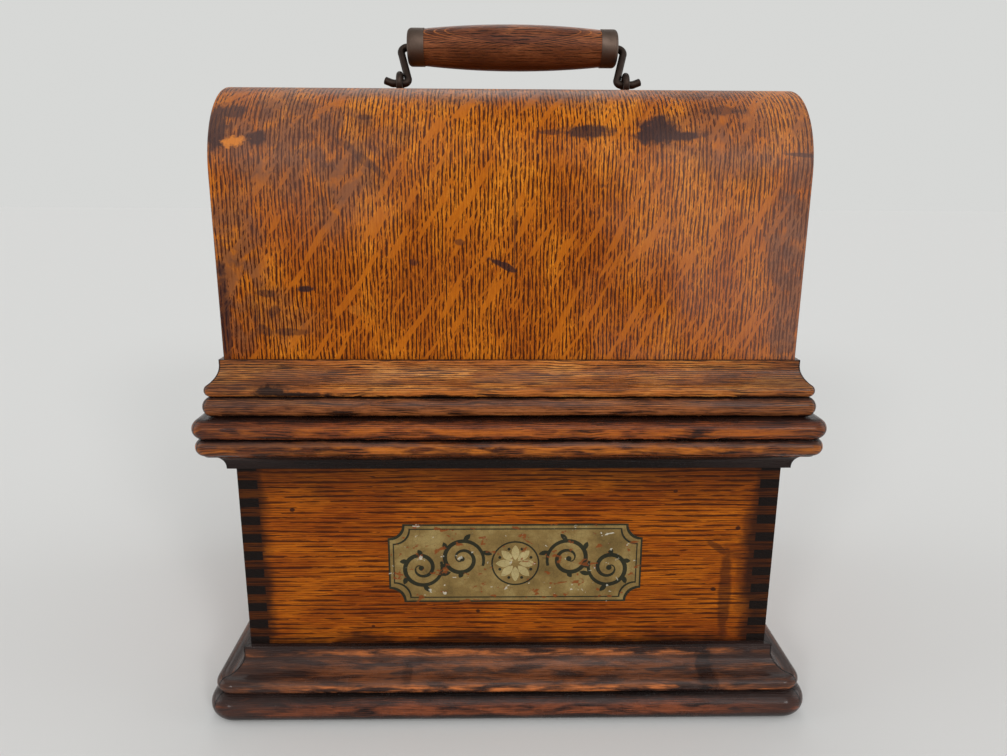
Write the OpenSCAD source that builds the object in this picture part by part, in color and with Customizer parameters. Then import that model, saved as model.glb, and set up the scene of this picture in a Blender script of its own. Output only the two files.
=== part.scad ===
// Cylinder phonograph in a finger-jointed oak case under a bentwood lid, in millimetres.
// The front faces -Y, the base rail stands on Z = 0 and the case is centred in plan.

/* [Body] */
// Width over the body boards
body_w = 266.7; // [262:0.1:300]
// Depth over the body boards
body_d = 194; // [190:0.5:230]
// Height of the body boards
wall_h = 143.9; // [138:0.1:170]
// Thickness of the body boards
wall_t = 9.5; // [8:0.1:10.5]
// Width of one finger of the corner joints
finger_w = 4.7625; // [4:0.01:9]
// Thickness of the bottom panel
panel_t = 6; // [4:0.5:9]

/* [Mouldings] */
// Height of the half-round base rail
rail_h = 14.7; // [11:0.1:18]
// Overhang of the base rail past the body
rail_over = 19.7; // [18:0.1:24]
// Width of the ledge that the base rail keeps inside the boards
rail_ledge = 7; // [4:0.5:12]
// Plan radius of the base rail's corners
rail_round = 14; // [11:0.5:16]
// Height of the plinth moulding
plinth_h = 19.6; // [18:0.1:24]
// Overhang of the plinth moulding
plinth_over = 16.3; // [15:0.1:18]
// Height of the upright fillet at the top of the plinth moulding
plinth_fillet = 4.6; // [3:0.1:6]
// Overhang of that fillet
plinth_lip = 3; // [2:0.1:4]
// Radius of the nose of the plinth moulding
plinth_nose = 3.7; // [3:0.1:4.5]
// Height of the cornice moulding
cornice_h = 17.3; // [16:0.1:20]
// Overhang of the cornice moulding
cornice_over = 15.3; // [14:0.1:16]
// Height of the round on the cornice moulding
cornice_round_h = 8.2; // [7:0.1:9]
// Overhang of the foot of the cornice cove
cornice_foot = 3.5; // [3:0.1:4.5]
// Height of the cornice bead
bead_h = 9.8; // [8:0.1:12]
// Overhang of the cornice bead
bead_over = 16.1; // [15:0.1:18]
// Plan radius of the cornice corners
cornice_corner = 8; // [6:0.5:10]
// Open joint between mitred strips
mitre_gap = 0.12; // [0.05:0.01:0.3]

/* [Lid] */
// Overhang of the lid shell past the body
lid_over = 1.45; // [1:0.05:2]
// Height of the upright part of the lid shell
lid_wall = 100.3; // [92:0.1:115]
// Radius of the lid's shoulders
shoulder_r = 41; // [36:0.5:50]
// Radius of the lid's crown
crown_r = 506; // [400:1:700]
// Thickness of the bent skin
skin_t = 5; // [4:0.1:6]
// Thickness of the lid's end boards
end_t = 11; // [9:0.5:12]
// Height of the lid bead
lid_bead_h = 9.8; // [8:0.1:12]
// Overhang of the lid bead
lid_bead_over = 11.1; // [10:0.1:12]
// Reach of the lid bead inside the body's outer faces
lid_bead_in = 8; // [6:0.1:9]
// Height of the skirt moulding
skirt_h = 16.8; // [14:0.1:19]
// Overhang of the skirt moulding's nose
skirt_over = 9.9; // [9:0.1:10.5]
// Radius of that nose
skirt_nose = 2.9; // [2.4:0.1:3.2]
// Overhang of the top of the skirt moulding
skirt_lip = 3.1; // [2.6:0.1:4]
// Height of the upright fillet at the top of the skirt moulding
skirt_fillet = 2.4; // [1.5:0.1:3]
// Plan radius of the lid mouldings' corners
lid_corner = 5; // [4:0.5:6]
// Thickness of the locating lip
lip_t = 4.5; // [3:0.5:5.5]
// Rise of the locating lip above the parting line
lip_rise = 6; // [4:0.5:8]
// Depth of the locating lip below the parting line
lip_drop = 8; // [6:0.5:8.5]

/* [Handle] */
// Length of the wooden grip between its ferrules
grip_len = 99; // [90:0.5:110]
// Diameter of the grip at its middle
grip_d = 24.5; // [22:0.1:25]
// Diameter of the grip beside a ferrule
grip_end_d = 19.6; // [18.5:0.1:21]
// Length of a ferrule
ferrule_len = 9.4; // [8:0.1:12]
// Diameter of a ferrule
ferrule_d = 20.4; // [19.5:0.1:22]
// Diameter of the bail wire
bail_d = 4.2; // [3.6:0.1:4.6]
// Distance from the eyes to the grip's axis
bail_len = 25; // [22:0.5:30]
// Slant of the bail's legs, in degrees
bail_slant = 14; // [8:0.5:16]
// Lean of the handle towards the back, in degrees
bail_lean = 33; // [10:1:40]
// Shift of the handle to the right of the lid's middle
handle_shift = 2.6; // [-5:0.1:5]
// Wire diameter of the screw eyes
eye_wire = 3.6; // [3:0.1:4]
// Inner diameter of the screw eyes
eye_bore = 5.6; // [5.2:0.1:7]

/* [Deck] */
// Depth of the motor board's top below the parting line
deck_drop = 8.6; // [8.6:0.1:12]
// Thickness of the motor board
board_t = 10; // [8:0.5:12]
// Thickness of the bedplate
bed_t = 4; // [3:0.5:6]
// Space between the bedplate and each end of the case
bed_side = 10.85; // [9:0.05:13]
// Space between the bedplate and the front and back of the case
bed_front = 11.5; // [9:0.5:13]
// Height of the ledger rails under the motor board
ledger_h = 11; // [8:0.5:12]
// Width of the ledger rails
ledger_w = 12; // [10:0.5:12.5]

/* [Mandrel and feed] */
// Height of the mandrel's axis over the bedplate
mandrel_rise = 60; // [58:0.5:64]
// Offset of the mandrel's axis from the middle of the case
mandrel_y = -14; // [-18:0.5:-10]
// Length of the mandrel
mandrel_len = 108; // [100:0.5:112]
// Diameter of the mandrel at its thick end
mandrel_d1 = 47; // [45:0.1:48]
// Diameter of the mandrel at its thin end
mandrel_d2 = 43.6; // [42:0.1:45]
// Wall of the hollow mandrel
mandrel_wall = 3; // [2:0.1:5]
// Diameter of the mandrel shaft
shaft_d = 8; // [7:0.1:9]
// Outer diameter of a record cylinder on the mandrel
record_d = 55.6; // [54:0.1:57]
// Tooth module of the feed gears
feed_m = 1; // [0.96:0.01:1.06]
// Teeth of the mandrel gear
mandrel_teeth = 40; // [38:1:44]
// Teeth of the feed gear
feed_teeth = 72; // [68:1:74]
// Angle from the mandrel's axis up to the feed screw, in degrees
feed_angle = 35; // [32:0.5:38]
// Diameter of the feed screw
feed_d = 9; // [8:0.1:10]
// Outer diameter of the slotted feed tube
tube_d = 16; // [15.5:0.1:17]
// Inner diameter of the feed tube
tube_bore = 11; // [10.5:0.1:12]
// Width of the slot in the feed tube
slot_w = 4; // [3.5:0.1:5]

/* [Carriage] */
// Length of the carriage sleeve
sleeve_len = 24; // [22:0.5:28]
// Diameter of the carriage sleeve
sleeve_d = 22; // [21:0.1:23]
// Thickness of the sleeve's flanges
flange_t = 2.5; // [2:0.1:3]
// Outer diameter of the arm's hub
hub_d = 30; // [28:0.5:32]
// Outer diameter of the ring that carries the reproducer
carrier_d = 46; // [45:0.5:48]
// Diameter of the reproducer body
repro_d = 40; // [38:0.1:41]
// Height of the reproducer body's cup
repro_h = 10; // [9:0.5:12]
// Thickness of the carrier ring
carrier_t = 8; // [6:0.5:8]
// Diameter of the reproducer's horn neck
neck_d = 12.7; // [12:0.1:14]
// Height of the horn neck over the cup
neck_h = 20; // [16:0.5:22]

/* [Motor] */
// Distance from the motor board down to the barrel's axis
barrel_drop = 64; // [62:0.5:68]
// Offset of the barrel's axis from the middle of the case
barrel_y = 30; // [28:0.5:32]
// Diameter of the spring barrel
barrel_d = 72; // [70:0.5:74]
// Length of the spring barrel
barrel_len = 51; // [48:0.5:52]
// Wall of the spring barrel
barrel_wall = 1.6; // [1.2:0.1:2.5]
// Tooth module of the barrel gear
barrel_m = 1; // [0.98:0.01:1.04]
// Teeth of the barrel gear
barrel_teeth = 80; // [78:1:84]
// Teeth of the pinions
pinion_teeth = 16; // [16:1:17]
// Tooth module of the second wheel
second_m = 0.8; // [0.78:0.01:0.84]
// Teeth of the second wheel
second_teeth = 64; // [60:1:66]
// Tooth module of the third wheel
third_m = 0.6; // [0.58:0.01:0.62]
// Teeth of the third wheel
third_teeth = 72; // [68:1:74]
// Play between meshing teeth
backlash = 0.16; // [0.12:0.01:0.2]
// Diameter of the winding arbor
wind_d = 8; // [7:0.1:9]
// Diameter of the winding arbor's socket end
socket_d = 12; // [11:0.1:13]
// Bore of the crank socket
socket_bore = 6.4; // [6:0.1:7]
// Depth of the crank socket
socket_deep = 16; // [12:0.5:20]
// Groove radius of the mandrel pulley
pulley_r = 18; // [17:0.1:19]
// Groove radius of the drive pulley
drive_r = 24; // [22:0.1:24.5]
// Width of the drive belt
belt_w = 7; // [6:0.1:8]
// Thickness of the drive belt
belt_t = 1.6; // [1:0.1:2]
// Diameter of the governor's friction disc
disc_d = 30; // [28:0.5:31]
// Distance of the governor's weights from its axis
weight_r = 12; // [11:0.1:13]
// Diameter of a governor weight
weight_d = 11; // [9:0.5:12]
// Turns of the mainspring
spring_turns = 9; // [6:1:12]
// Thickness of the mainspring
spring_t = 0.8; // [0.6:0.05:1]

/* [Fits] */
// Radial clearance of shafts, pins and seats
fit = 0.05; // [0.03:0.01:0.08]
// Clearance between pieces that pass each other
gap = 0.4; // [0.3:0.05:0.5]

/* [Hidden] */
$fn = 64;

// Half sizes and levels of the case
hw = body_w / 2;
hd = body_d / 2;
z_part = rail_h + wall_h;
z_deck = z_part - deck_drop;
z_under = z_deck - board_t;
z_bed = z_deck + bed_t;
in_w = hw - wall_t;
in_d = hd - wall_t;
finger_n = ceil(wall_h / finger_w);
// Levels and shape of the lid
z_shell = z_part + lid_bead_h;
z_spring = z_shell + lid_wall;
lid_hw = hw + lid_over;
lid_hd = hd + lid_over;
shoulder_y = lid_hd - shoulder_r;
crown_z = z_spring - sqrt(pow(crown_r - shoulder_r, 2) - pow(shoulder_y, 2));
z_top = crown_z + crown_r;
// Handle: eye ring, hinge axis and the points of the bail
eye_r = (eye_bore + eye_wire) / 2;
z_eye = z_top + eye_r + eye_wire / 2;
bail_r = bail_d / 2;
bend_r = 3.6;
bend2_r = 2.6;
grip_end = grip_len / 2 + ferrule_len;
leg_top = [grip_end + bend_r * cos(bail_slant), bail_len - bend_r - bend_r * sin(bail_slant)];
leg_low_v = bend2_r + bend2_r * sin(bail_slant);
leg_run = (leg_top[1] - leg_low_v) / cos(bail_slant);
leg_low = [leg_top[0] - leg_run * sin(bail_slant), leg_low_v];
bend2_x = leg_low[0] + bend2_r * cos(bail_slant);
eye_x = bend2_x + eye_wire / 2;
eye_nut_r = eye_wire / 2 + 3;
z_seat = z_top - skin_t + 0.4;
tail_x = eye_x + eye_wire / 2 + 1.3;
tail_r = 4;
tail_turn = 25;
tail_len = 3.5;
wire_lap = 0.1;
// Lid hooks at the middle of both ends
hook_t = 2;
hook_pin = 4;
hook_x = hw + max(bead_over, cornice_over) + gap;
hook_z = z_part - bead_h / 2;
stud_z = z_shell + skirt_nose;
hook_len = stud_z - hook_z;
// Bedplate, sized to the inside of the case
bed_w = 2 * (in_w - bed_side);
bed_d = 2 * (in_d - bed_front);
// Places along X, set out from both ends of the bedplate
std_t = 8;
std_foot = 5;
pulley_w = 12;
gear_t = 6;
centre_t = 10;
x_left = -bed_w / 2 + std_t + std_foot;
x_belt = x_left + 24;
x_gear = x_left + 40;
x_centre = x_left + 54;
x_mandrel = x_centre + centre_t + 3;
x_right = bed_w / 2 - std_t + 1;
socket_in = 4;
sleeve_x = x_centre + centre_t + 3;
// Axes of the mandrel and the feed screw
zm = z_bed + mandrel_rise;
ym = mandrel_y;
feed_c = feed_m * (mandrel_teeth + feed_teeth) / 2;
yf = ym + feed_c * cos(feed_angle);
zf = zm + feed_c * sin(feed_angle);
boss_r = shaft_d / 2 + 6;
feed_boss_r = tube_d / 2 + 4;
// Reproducer levels, set by the record that the stylus rests on
z_stylus = zm + record_d / 2 + 1;
z_cup = z_stylus + 5;
z_carrier = z_cup + repro_h - carrier_t;
x_repro = sleeve_x + sleeve_len / 2;
// Motor axes, from the barrel forward
yb = barrel_y;
zb = z_under - barrel_drop;
c1 = barrel_m * (barrel_teeth + pinion_teeth) / 2;
a1 = 170;
y2 = yb + c1 * cos(a1);
z2 = zb + c1 * sin(a1);
c2 = second_m * (second_teeth + pinion_teeth) / 2;
a2 = 150;
y3 = y2 + c2 * cos(a2);
z3 = z2 + c2 * sin(a2);
c3 = third_m * (third_teeth + pinion_teeth) / 2;
a3 = 240;
yg = y3 + c3 * cos(a3);
zg = z3 + c3 * sin(a3);
plate_t = 3;
x_pl = x_belt + 12;
x_pr = x_pl + 97;
x_in0 = x_pl + plate_t;
plate_y0 = -73;
plate_y1 = 74;
plate_z0 = zb - barrel_m * (barrel_teeth / 2 + 1);
pillar_r = 4;
pillars = [[plate_y0 + 6.5, z_under - 11], [plate_y1 - 7.5, z_under - 16],
    [plate_y1 - 7.5, plate_z0 + 7], [plate_y0 + 10, plate_z0 + 9]];
arbor_r = 3;
pivot_r = 2;
// The barrel along X: gear, cup, cover
x_bgear = x_pl + 28;
bgear_t = 5;
x_cup = x_bgear + bgear_t;
x_cover = x_cup + barrel_len;
cover_t = 2.5;
spring_hub_r = wind_d / 2 + 5;
// The governor along X
x_gov = x_pl + 34;
x_disc = x_pl + 80;
disc_t = 2;
gov_r = 2.5;
collar_r = 7;
collar_t = 6;
leaf_t = 0.6;
leaf_w = 4;
// Angle that each belt arc runs on past its tangent, in degrees
belt_lap = 1;
// Levers through the deck
speed_x = x_disc + disc_t / 2;
start_x = x_disc + disc_t + 9;
start_y = yg + 22;
start_z = zg;

// An extrusion along X of an outline drawn in Y and Z
module along_x(x0, t) translate([x0, 0, 0]) rotate([90, 0, 90]) linear_extrude(t) children();

// A round bar along X from x0 to x1
module bar_x(x0, x1, y, z, r)
    translate([x0, y, z]) rotate([0, 90, 0]) cylinder(r = r, h = x1 - x0);

// A turned piece on an axis along X, outline drawn as radius and length
module turned_x(x0, y, z) translate([x0, y, z]) rotate([0, 90, 0]) rotate_extrude() children();

// A rounded bar end or plate corner: a box with four round upright corners, drawn flat
module round_rect(x0, y0, x1, y1, r) {
    translate([x0 + r, y0]) square([x1 - x0 - 2 * r, y1 - y0]);
    translate([x0, y0 + r]) square([x1 - x0, y1 - y0 - 2 * r]);
    for (x = [x0 + r, x1 - r], y = [y0 + r, y1 - r]) translate([x, y]) circle(r);
}

// One strip of a mitred frame on the +X side: its outline gives overhang and height
module strip(sx, sy, c, inner, outer) {
    far = outer + 5;
    intersection() {
        union() {
            translate([sx, sy + c, 0]) rotate([90, 0, 0]) linear_extrude(2 * (sy + c)) children();
            translate([sx, sy + far, 0]) rotate([90, 0, 0]) linear_extrude(2 * (sy + far))
                intersection() {
                    children();
                    translate([-100, -500]) square([100 + c, 1000]);
                }
            for (s = [0, 1]) mirror([0, s, 0]) translate([sx + c, sy + c, 0]) rotate_extrude(angle = 90)
                translate([-c, 0]) intersection() {
                    children();
                    translate([c, -500]) square([100, 1000]);
                }
        }
        translate([0, 0, -5]) linear_extrude(z_top + 20)
            polygon([[sx - inner, -(sy - inner) + mitre_gap], [sx + far, -(sy + far) + mitre_gap],
                [sx + far, sy + far - mitre_gap], [sx - inner, sy - inner - mitre_gap]]);
    }
}

// Four strips round the case, mitred at the corners and rounded in plan
module frame(c, inner, outer) {
    for (s = [0, 1]) mirror([s, 0, 0]) strip(hw, hd, c, inner, outer) children();
    for (s = [0, 1]) mirror([0, s, 0]) rotate([0, 0, 90]) mirror([0, 1, 0])
        strip(hd, hw, c, inner, outer) children();
}

// A half-round bead with a flat back
module bead_outline(z0, h, over, inner) {
    translate([-inner, z0]) square([inner + over - h / 2, h]);
    translate([over - h / 2, z0 + h / 2]) circle(h / 2);
}

// Every second finger of a corner joint, as the boxes that are cut from a board's ends
module finger_cuts(first) {
    for (i = [first : 2 : finger_n - 1]) {
        z0 = rail_h + i * finger_w;
        h = min(finger_w, z_part - z0);
        for (x = [-hw - 1, in_w]) translate([x, in_d, z0]) cube([wall_t + 1, wall_t + 1, h]);
    }
}

module side_cuts(first) {
    for (i = [first : 2 : finger_n - 1]) {
        z0 = rail_h + i * finger_w;
        h = min(finger_w, z_part - z0);
        for (y = [-hd - 1, in_d]) translate([in_w, y, z0]) cube([wall_t + 1, wall_t + 1, h]);
    }
}

module long_board() {
    difference() {
        translate([-hw, in_d, rail_h]) cube([body_w, wall_t, wall_h]);
        finger_cuts(0);
    }
}

module end_board() {
    difference() {
        translate([in_w, -hd, rail_h]) cube([wall_t, body_d, wall_h]);
        side_cuts(1);
    }
}

module front_board() color("#b5682a") mirror([0, 1, 0]) long_board();
module back_board() color("#a65e26") long_board();
module left_board() color("#9c5822") mirror([1, 0, 0]) end_board();

// The right board has the hole for the winding arbor
module right_board() color("#9c5822") difference() {
    end_board();
    bar_x(in_w - 1, hw + 1, yb, zb, socket_d / 2 + 2);
}

module bottom_panel() color("#8a5424")
    translate([-in_w + gap / 2, -in_d + gap / 2, rail_h])
        cube([2 * in_w - gap, 2 * in_d - gap, panel_t]);

module base_rail() color("#5d3317")
    frame(rail_over - rail_round, wall_t + rail_ledge, rail_over)
        bead_outline(0, rail_h, rail_over, wall_t + rail_ledge);

// Radius of a cove that leaves an upright face and runs smoothly into a nose
function cove_radius(reach, rise, nose) = (reach * reach + rise * rise - nose * nose) / (2 * (reach + nose));

// A moulding with a nose at the foot, a cove and an upright fillet, from an inner face outwards
module ogee_outline(inner, over, nose, lip, z0, h, fillet) {
    zc = z0 + h - fillet;
    x_nose = over - nose;
    z_nose = z0 + nose;
    r = cove_radius(x_nose - lip, zc - z_nose, nose);
    x_touch = x_nose + nose * (lip + r - x_nose) / (r + nose);
    difference() {
        union() {
            translate([inner, z0]) square([min(x_nose, x_touch) - inner, h]);
            translate([inner, z_nose]) square([x_touch - inner, h - nose]);
        }
        translate([lip + r, zc]) circle(r);
        translate([lip, zc]) square([over, fillet + 1]);
    }
    translate([x_nose, z_nose]) circle(nose);
}

module plinth_outline() ogee_outline(0, plinth_over, plinth_nose, plinth_lip, rail_h, plinth_h, plinth_fillet);

module plinth_moulding() color("#6b3c1a")
    frame(rail_over - rail_round, 0, plinth_over) plinth_outline();

// Cornice: round at the top, flat soffit, cove down to a small foot
module cornice_outline() {
    z1 = z_part - bead_h;
    z0 = z1 - cornice_h;
    zr = z1 - cornice_round_h;
    cove_r = zr - z0 - 1.2;
    translate([0, zr]) square([cornice_over - cornice_round_h / 2, cornice_round_h]);
    translate([cornice_over - cornice_round_h / 2, zr + cornice_round_h / 2]) circle(cornice_round_h / 2);
    difference() {
        translate([0, z0]) square([cornice_foot + cove_r, zr - z0]);
        translate([cornice_foot + cove_r, z0 + 0.6]) circle(cove_r);
        translate([cornice_foot, z0 - 1]) square([cove_r + 1, 1.6]);
    }
}

module cornice_moulding() color("#7a451d")
    frame(bead_over - cornice_corner, 0, cornice_over) cornice_outline();

module cornice_bead() color("#7a451d") difference() {
    frame(bead_over - cornice_corner, 0, bead_over) bead_outline(z_part - bead_h, bead_h, bead_over, 0);
    for (s = [0, 1]) mirror([s, 0, 0]) bar_x(hw - 1, hook_x, 0, hook_z, hook_pin / 2 + fit);
}

// Lip strips on the inner faces of the boards, which the lid drops round
module locating_lip() color("#8a5424") for (s = [0, 1]) {
    h = lip_drop + lip_rise;
    mirror([0, s, 0]) translate([-in_w, in_d - lip_t, z_part - lip_drop]) cube([2 * in_w, lip_t, h]);
    mirror([s, 0, 0]) translate([in_w - lip_t, -in_d + lip_t + mitre_gap, z_part - lip_drop])
        cube([lip_t, 2 * (in_d - lip_t - mitre_gap), h]);
}

// Ledger rails along the front and back, relieved where the motor comes close to them
module ledger_rails() color("#8a5424") difference() {
    for (s = [0, 1]) mirror([0, s, 0]) translate([-in_w + gap / 2, in_d - ledger_w, z_under - ledger_h])
        cube([2 * in_w - gap, ledger_w, ledger_h]);
    translate([x_pl - 3, plate_y0 - gap, z_under - ledger_h - 1])
        cube([x_pr + plate_t + 16 - x_pl, plate_y1 - plate_y0 + 2 * gap, ledger_h + 2]);
}

// Belt strands through the deck: place and half-width of their slot
belt_s = (z_deck - z3) / (zm - z3);
slot_y = y3 + belt_s * (ym - y3);
slot_h = drive_r + belt_s * (pulley_r - drive_r) + belt_t + 8;
screw_places = [for (x = [-1, 1], y = [-1, 1]) [x * (bed_w / 2 - 8), y * (bed_d / 2 - 8)]];

module deck_holes(screw_r) {
    translate([x_belt - belt_w, slot_y - slot_h, z_under - 1]) cube([2 * belt_w, 2 * slot_h, 40]);
    translate([speed_x, yg, z_under - 1]) cylinder(r = 2.5 + fit, h = 40);
    translate([start_x, start_y, z_under - 1]) cylinder(r = arbor_r + fit, h = 40);
    for (p = screw_places) translate([p[0], p[1], z_under - 1]) cylinder(r = screw_r, h = 40);
}

module motor_board() color("#96602c") difference() {
    translate([-(in_w - lip_t - gap), -(in_d - lip_t - gap), z_under])
        cube([2 * (in_w - lip_t - gap), 2 * (in_d - lip_t - gap), board_t]);
    deck_holes(2 + fit);
}

module bedplate() color("#26241f") difference() {
    translate([0, 0, z_deck]) linear_extrude(bed_t)
        round_rect(-bed_w / 2, -bed_d / 2, bed_w / 2, bed_d / 2, 8);
    deck_holes(2 + fit);
}

module deck_screws() color("#8d8678") for (p = screw_places) {
    translate([p[0], p[1], z_under + 1]) cylinder(r = 2, h = z_bed - z_under);
    translate([p[0], p[1], z_bed]) cylinder(r1 = 4.5, r2 = 3.4, h = 2);
}

module crank_escutcheon() color("#a98544") difference() {
    bar_x(hw, hw + 1.6, yb, zb, socket_d / 2 + 9);
    bar_x(hw - 1, hw + 3, yb, zb, socket_d / 2 + 1.2);
}

// Shoulder screws that the lid hooks turn on
module hook_pivots() color("#5c564c") for (s = [0, 1]) mirror([s, 0, 0]) {
    bar_x(hw + 0.5, hook_x + hook_t + gap, 0, hook_z, hook_pin / 2);
    bar_x(hook_x + hook_t + gap, hook_x + hook_t + gap + 2, 0, hook_z, hook_pin / 2 + 2);
}

// A standard's outline: web between foot and bosses, waisted on both flanks, with an arched window
module standard_outline() {
    y0 = ym - 32;
    y1 = yf + 14;
    difference() {
        union() {
            polygon([[y0, z_bed], [y1, z_bed], [yf + feed_boss_r - 1, zf], [yf - 7, zf + 8],
                [ym - 6, zm + 8], [ym - boss_r + 0.5, zm]]);
            translate([ym, zm]) circle(boss_r);
            translate([yf, zf]) circle(feed_boss_r);
        }
        translate([ym + 16, z_bed + 10]) square([yf - ym - 22, 24]);
        translate([ym + 5 + yf / 2 - ym / 2, z_bed + 34]) circle((yf - ym - 22) / 2);
        translate([y0 - 46, zm - 22]) circle(52);
    }
}

module standard(x0, t, feed_hole) difference() {
    union() {
        along_x(x0, t) standard_outline();
        translate([x0 - std_foot, ym - 34, z_bed]) cube([t + 2 * std_foot, yf - ym + 50, 5]);
    }
    bar_x(x0 - 1, x0 + t + 1, ym, zm, shaft_d / 2 + fit);
    bar_x(x0 - 1, x0 + t + 1, yf, zf, feed_hole);
}

module left_standard() color("#2b2823") standard(x_left, std_t, feed_d / 2 + fit);

// The centre standard also takes the left end of the feed tube
module centre_standard() color("#2b2823") difference() {
    standard(x_centre, centre_t, feed_d / 2 + fit);
    bar_x(x_centre + centre_t - socket_in, x_centre + centre_t + 1, yf, zf, tube_d / 2 + fit);
}

module right_standard() color("#2b2823") difference() {
    union() {
        along_x(x_right, std_t) union() {
            polygon([[yf - 15, z_bed], [yf + 15, z_bed], [yf + feed_boss_r - 2, zf],
                [yf - feed_boss_r + 2, zf]]);
            translate([yf, zf]) circle(feed_boss_r);
        }
        translate([x_right - std_foot, yf - 18, z_bed]) cube([std_t + std_foot - 1, 36, 5]);
    }
    bar_x(x_right - 1, x_right + socket_in, yf, zf, tube_d / 2 + fit);
    bar_x(x_right - 1, x_right + std_t + 1, yf, zf, feed_d / 2 + fit);
}

// Slotted guard tube round the feed screw
module feed_tube() color("#8d8d88") difference() {
    bar_x(x_centre + centre_t - socket_in + gap, x_right + socket_in - gap, yf, zf, tube_d / 2);
    bar_x(x_centre, x_right + std_t, yf, zf, tube_bore / 2);
    translate([x_centre + centre_t + 1, yf - slot_w / 2, zf - tube_d])
        cube([x_right - x_centre - centre_t - 2, slot_w, tube_d]);
}

// Involute tooth outline with straight steps along each flank
function inv(a) = tan(a) * 180 / PI - a;
function half_angle(n, m, r) = let (rp = n * m / 2, rb = rp * cos(20), ra = max(r, rb + 0.0001))
    90 / n - backlash / 4 / rp * 180 / PI + inv(20) - inv(acos(rb / ra));
function flank(n, m) = let (rp = n * m / 2, rr = rp - 1.25 * m, rb = rp * cos(20))
    rb > rr + 0.1 * m ? [rr, rb, rp, rp + 0.92 * m] : [rr, rp, rp + 0.92 * m];
function polar(r, a) = [r * cos(a), r * sin(a)];
function tooth(n, m, a) = [
    for (r = flank(n, m)) polar(r, a - half_angle(n, m, r)),
    for (i = [len(flank(n, m)) - 1 : -1 : 0]) let (r = flank(n, m)[i]) polar(r, a + half_angle(n, m, r))];
function gear_points(n, m, a0) = [for (k = [0 : n - 1]) for (p = tooth(n, m, a0 + k * 360 / n)) p];

// A gear in the YZ plane with one tooth towards angle a0
module gear(x0, t, y, z, n, m, a0)
    along_x(x0, t) translate([y, z]) polygon(gear_points(n, m, a0));

module plate_outline() round_rect(plate_y0, plate_z0, plate_y1, z_under, 6);

module motor_plate(x0) difference() {
    along_x(x0, plate_t) plate_outline();
    bar_x(x0 - 1, x0 + plate_t + 1, yb, zb, wind_d / 2 + fit);
    bar_x(x0 - 1, x0 + plate_t + 1, y2, z2, pivot_r + fit);
    bar_x(x0 - 1, x0 + plate_t + 1, yg, zg, pivot_r - 0.5 + fit);
    for (p = pillars) bar_x(x0 - 1, x0 + plate_t + 1, p[0], p[1], pillar_r - 1.5 + fit);
}

// The motor plates hang from the board by turned-out flanges along their top edges
module motor_left_plate() color("#b08d4a") difference() {
    union() {
        motor_plate(x_pl);
        translate([x_pl, plate_y0 + 70, z_under - 2.5]) cube([plate_t + 9, plate_y1 - plate_y0 - 82, 2.5]);
    }
    bar_x(x_pl - 1, x_pl + plate_t + 1, y3, z3, arbor_r + fit);
}

module motor_right_plate() color("#b08d4a") difference() {
    union() {
        motor_plate(x_pr);
        translate([x_pr, plate_y0 + 12, z_under - 2.5])
            cube([plate_t + 10, plate_y1 - plate_y0 - 24, 2.5]);
    }
    bar_x(x_pr - 1, x_pr + plate_t + 1, y3, z3, pivot_r + fit);
}

module motor_pillars() color("#9a9a94") for (p = pillars) {
    bar_x(x_in0, x_pr, p[0], p[1], pillar_r);
    bar_x(x_pl - 2, x_pr + plate_t + 2, p[0], p[1], pillar_r - 1.5);
}

// Housing of the one-way clutch that keeps the spring wound
module winding_clutch() color("#77736a") difference() {
    bar_x(x_pr + plate_t, x_pr + plate_t + 16, yb, zb, wind_d / 2 + 10);
    bar_x(x_pr, x_pr + plate_t + 20, yb, zb, wind_d / 2 + fit);
}

// One end of the belt: an arc round a pulley, open towards the other pulley
module belt_arc(y, z, r, dir, half) translate([y, z]) intersection() {
    difference() {
        circle(r + gap + belt_t);
        circle(r + gap);
    }
    polygon([[0, 0], polar(3 * r, dir - half), polar(6 * r, dir - half / 2), polar(6 * r, dir),
        polar(6 * r, dir + half / 2), polar(3 * r, dir + half)]);
}

// Belt: two arcs and two strands along their outer tangents, each strand let into both arcs
module drive_belt() color("#5a3a20") along_x(x_belt - belt_w / 2, belt_w) {
    d = norm([ym - y3, zm - z3]);
    dir = atan2(zm - z3, ym - y3);
    turn = acos((drive_r - pulley_r) / d);
    run = d * sin(turn);
    belt_arc(y3, z3, drive_r, dir + 180, 180 - turn + belt_lap);
    belt_arc(ym, zm, pulley_r, dir, turn + belt_lap);
    for (s = [-1, 1]) translate([y3, z3] + polar(drive_r + gap + belt_t / 2, dir + s * turn))
        rotate(dir + s * (turn - 90)) translate([0, fit - belt_t / 2]) square([run, belt_t - 2 * fit]);
}

// Lid profile in Y and Z: upright walls, two shoulder arcs and a flat crown arc, all tangent
module lid_profile(inset, foot) {
    dir = atan2(z_spring - crown_z, shoulder_y);
    past = 5;
    difference() {
        intersection() {
            translate([-lid_hd + inset, foot]) square([2 * (lid_hd - inset), z_top + past - foot]);
            translate([0, crown_z]) circle(crown_r - inset);
        }
        for (s = [0, 1]) mirror([s, 0]) difference() {
            polygon([[shoulder_y, z_spring], [lid_hd + past, z_spring], [lid_hd + past, z_top + past],
                [shoulder_y, z_spring] + polar((z_top + past - z_spring) / sin(dir), dir)]);
            translate([shoulder_y, z_spring]) circle(shoulder_r - inset);
        }
    }
}

module lid_skin() color("#b9661f") difference() {
    along_x(-lid_hw, 2 * lid_hw) difference() {
        lid_profile(0, z_shell);
        lid_profile(skin_t, z_shell - 1);
    }
    for (x = [-eye_x, eye_x]) translate([handle_shift + x, 0, 0]) {
        translate([0, 0, z_top - 20]) cylinder(r = eye_wire / 2 + fit, h = 40);
        translate([0, 0, z_seat - 10]) cylinder(r = eye_nut_r + 0.5, h = 10);
    }
    stud_holes();
}

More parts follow.
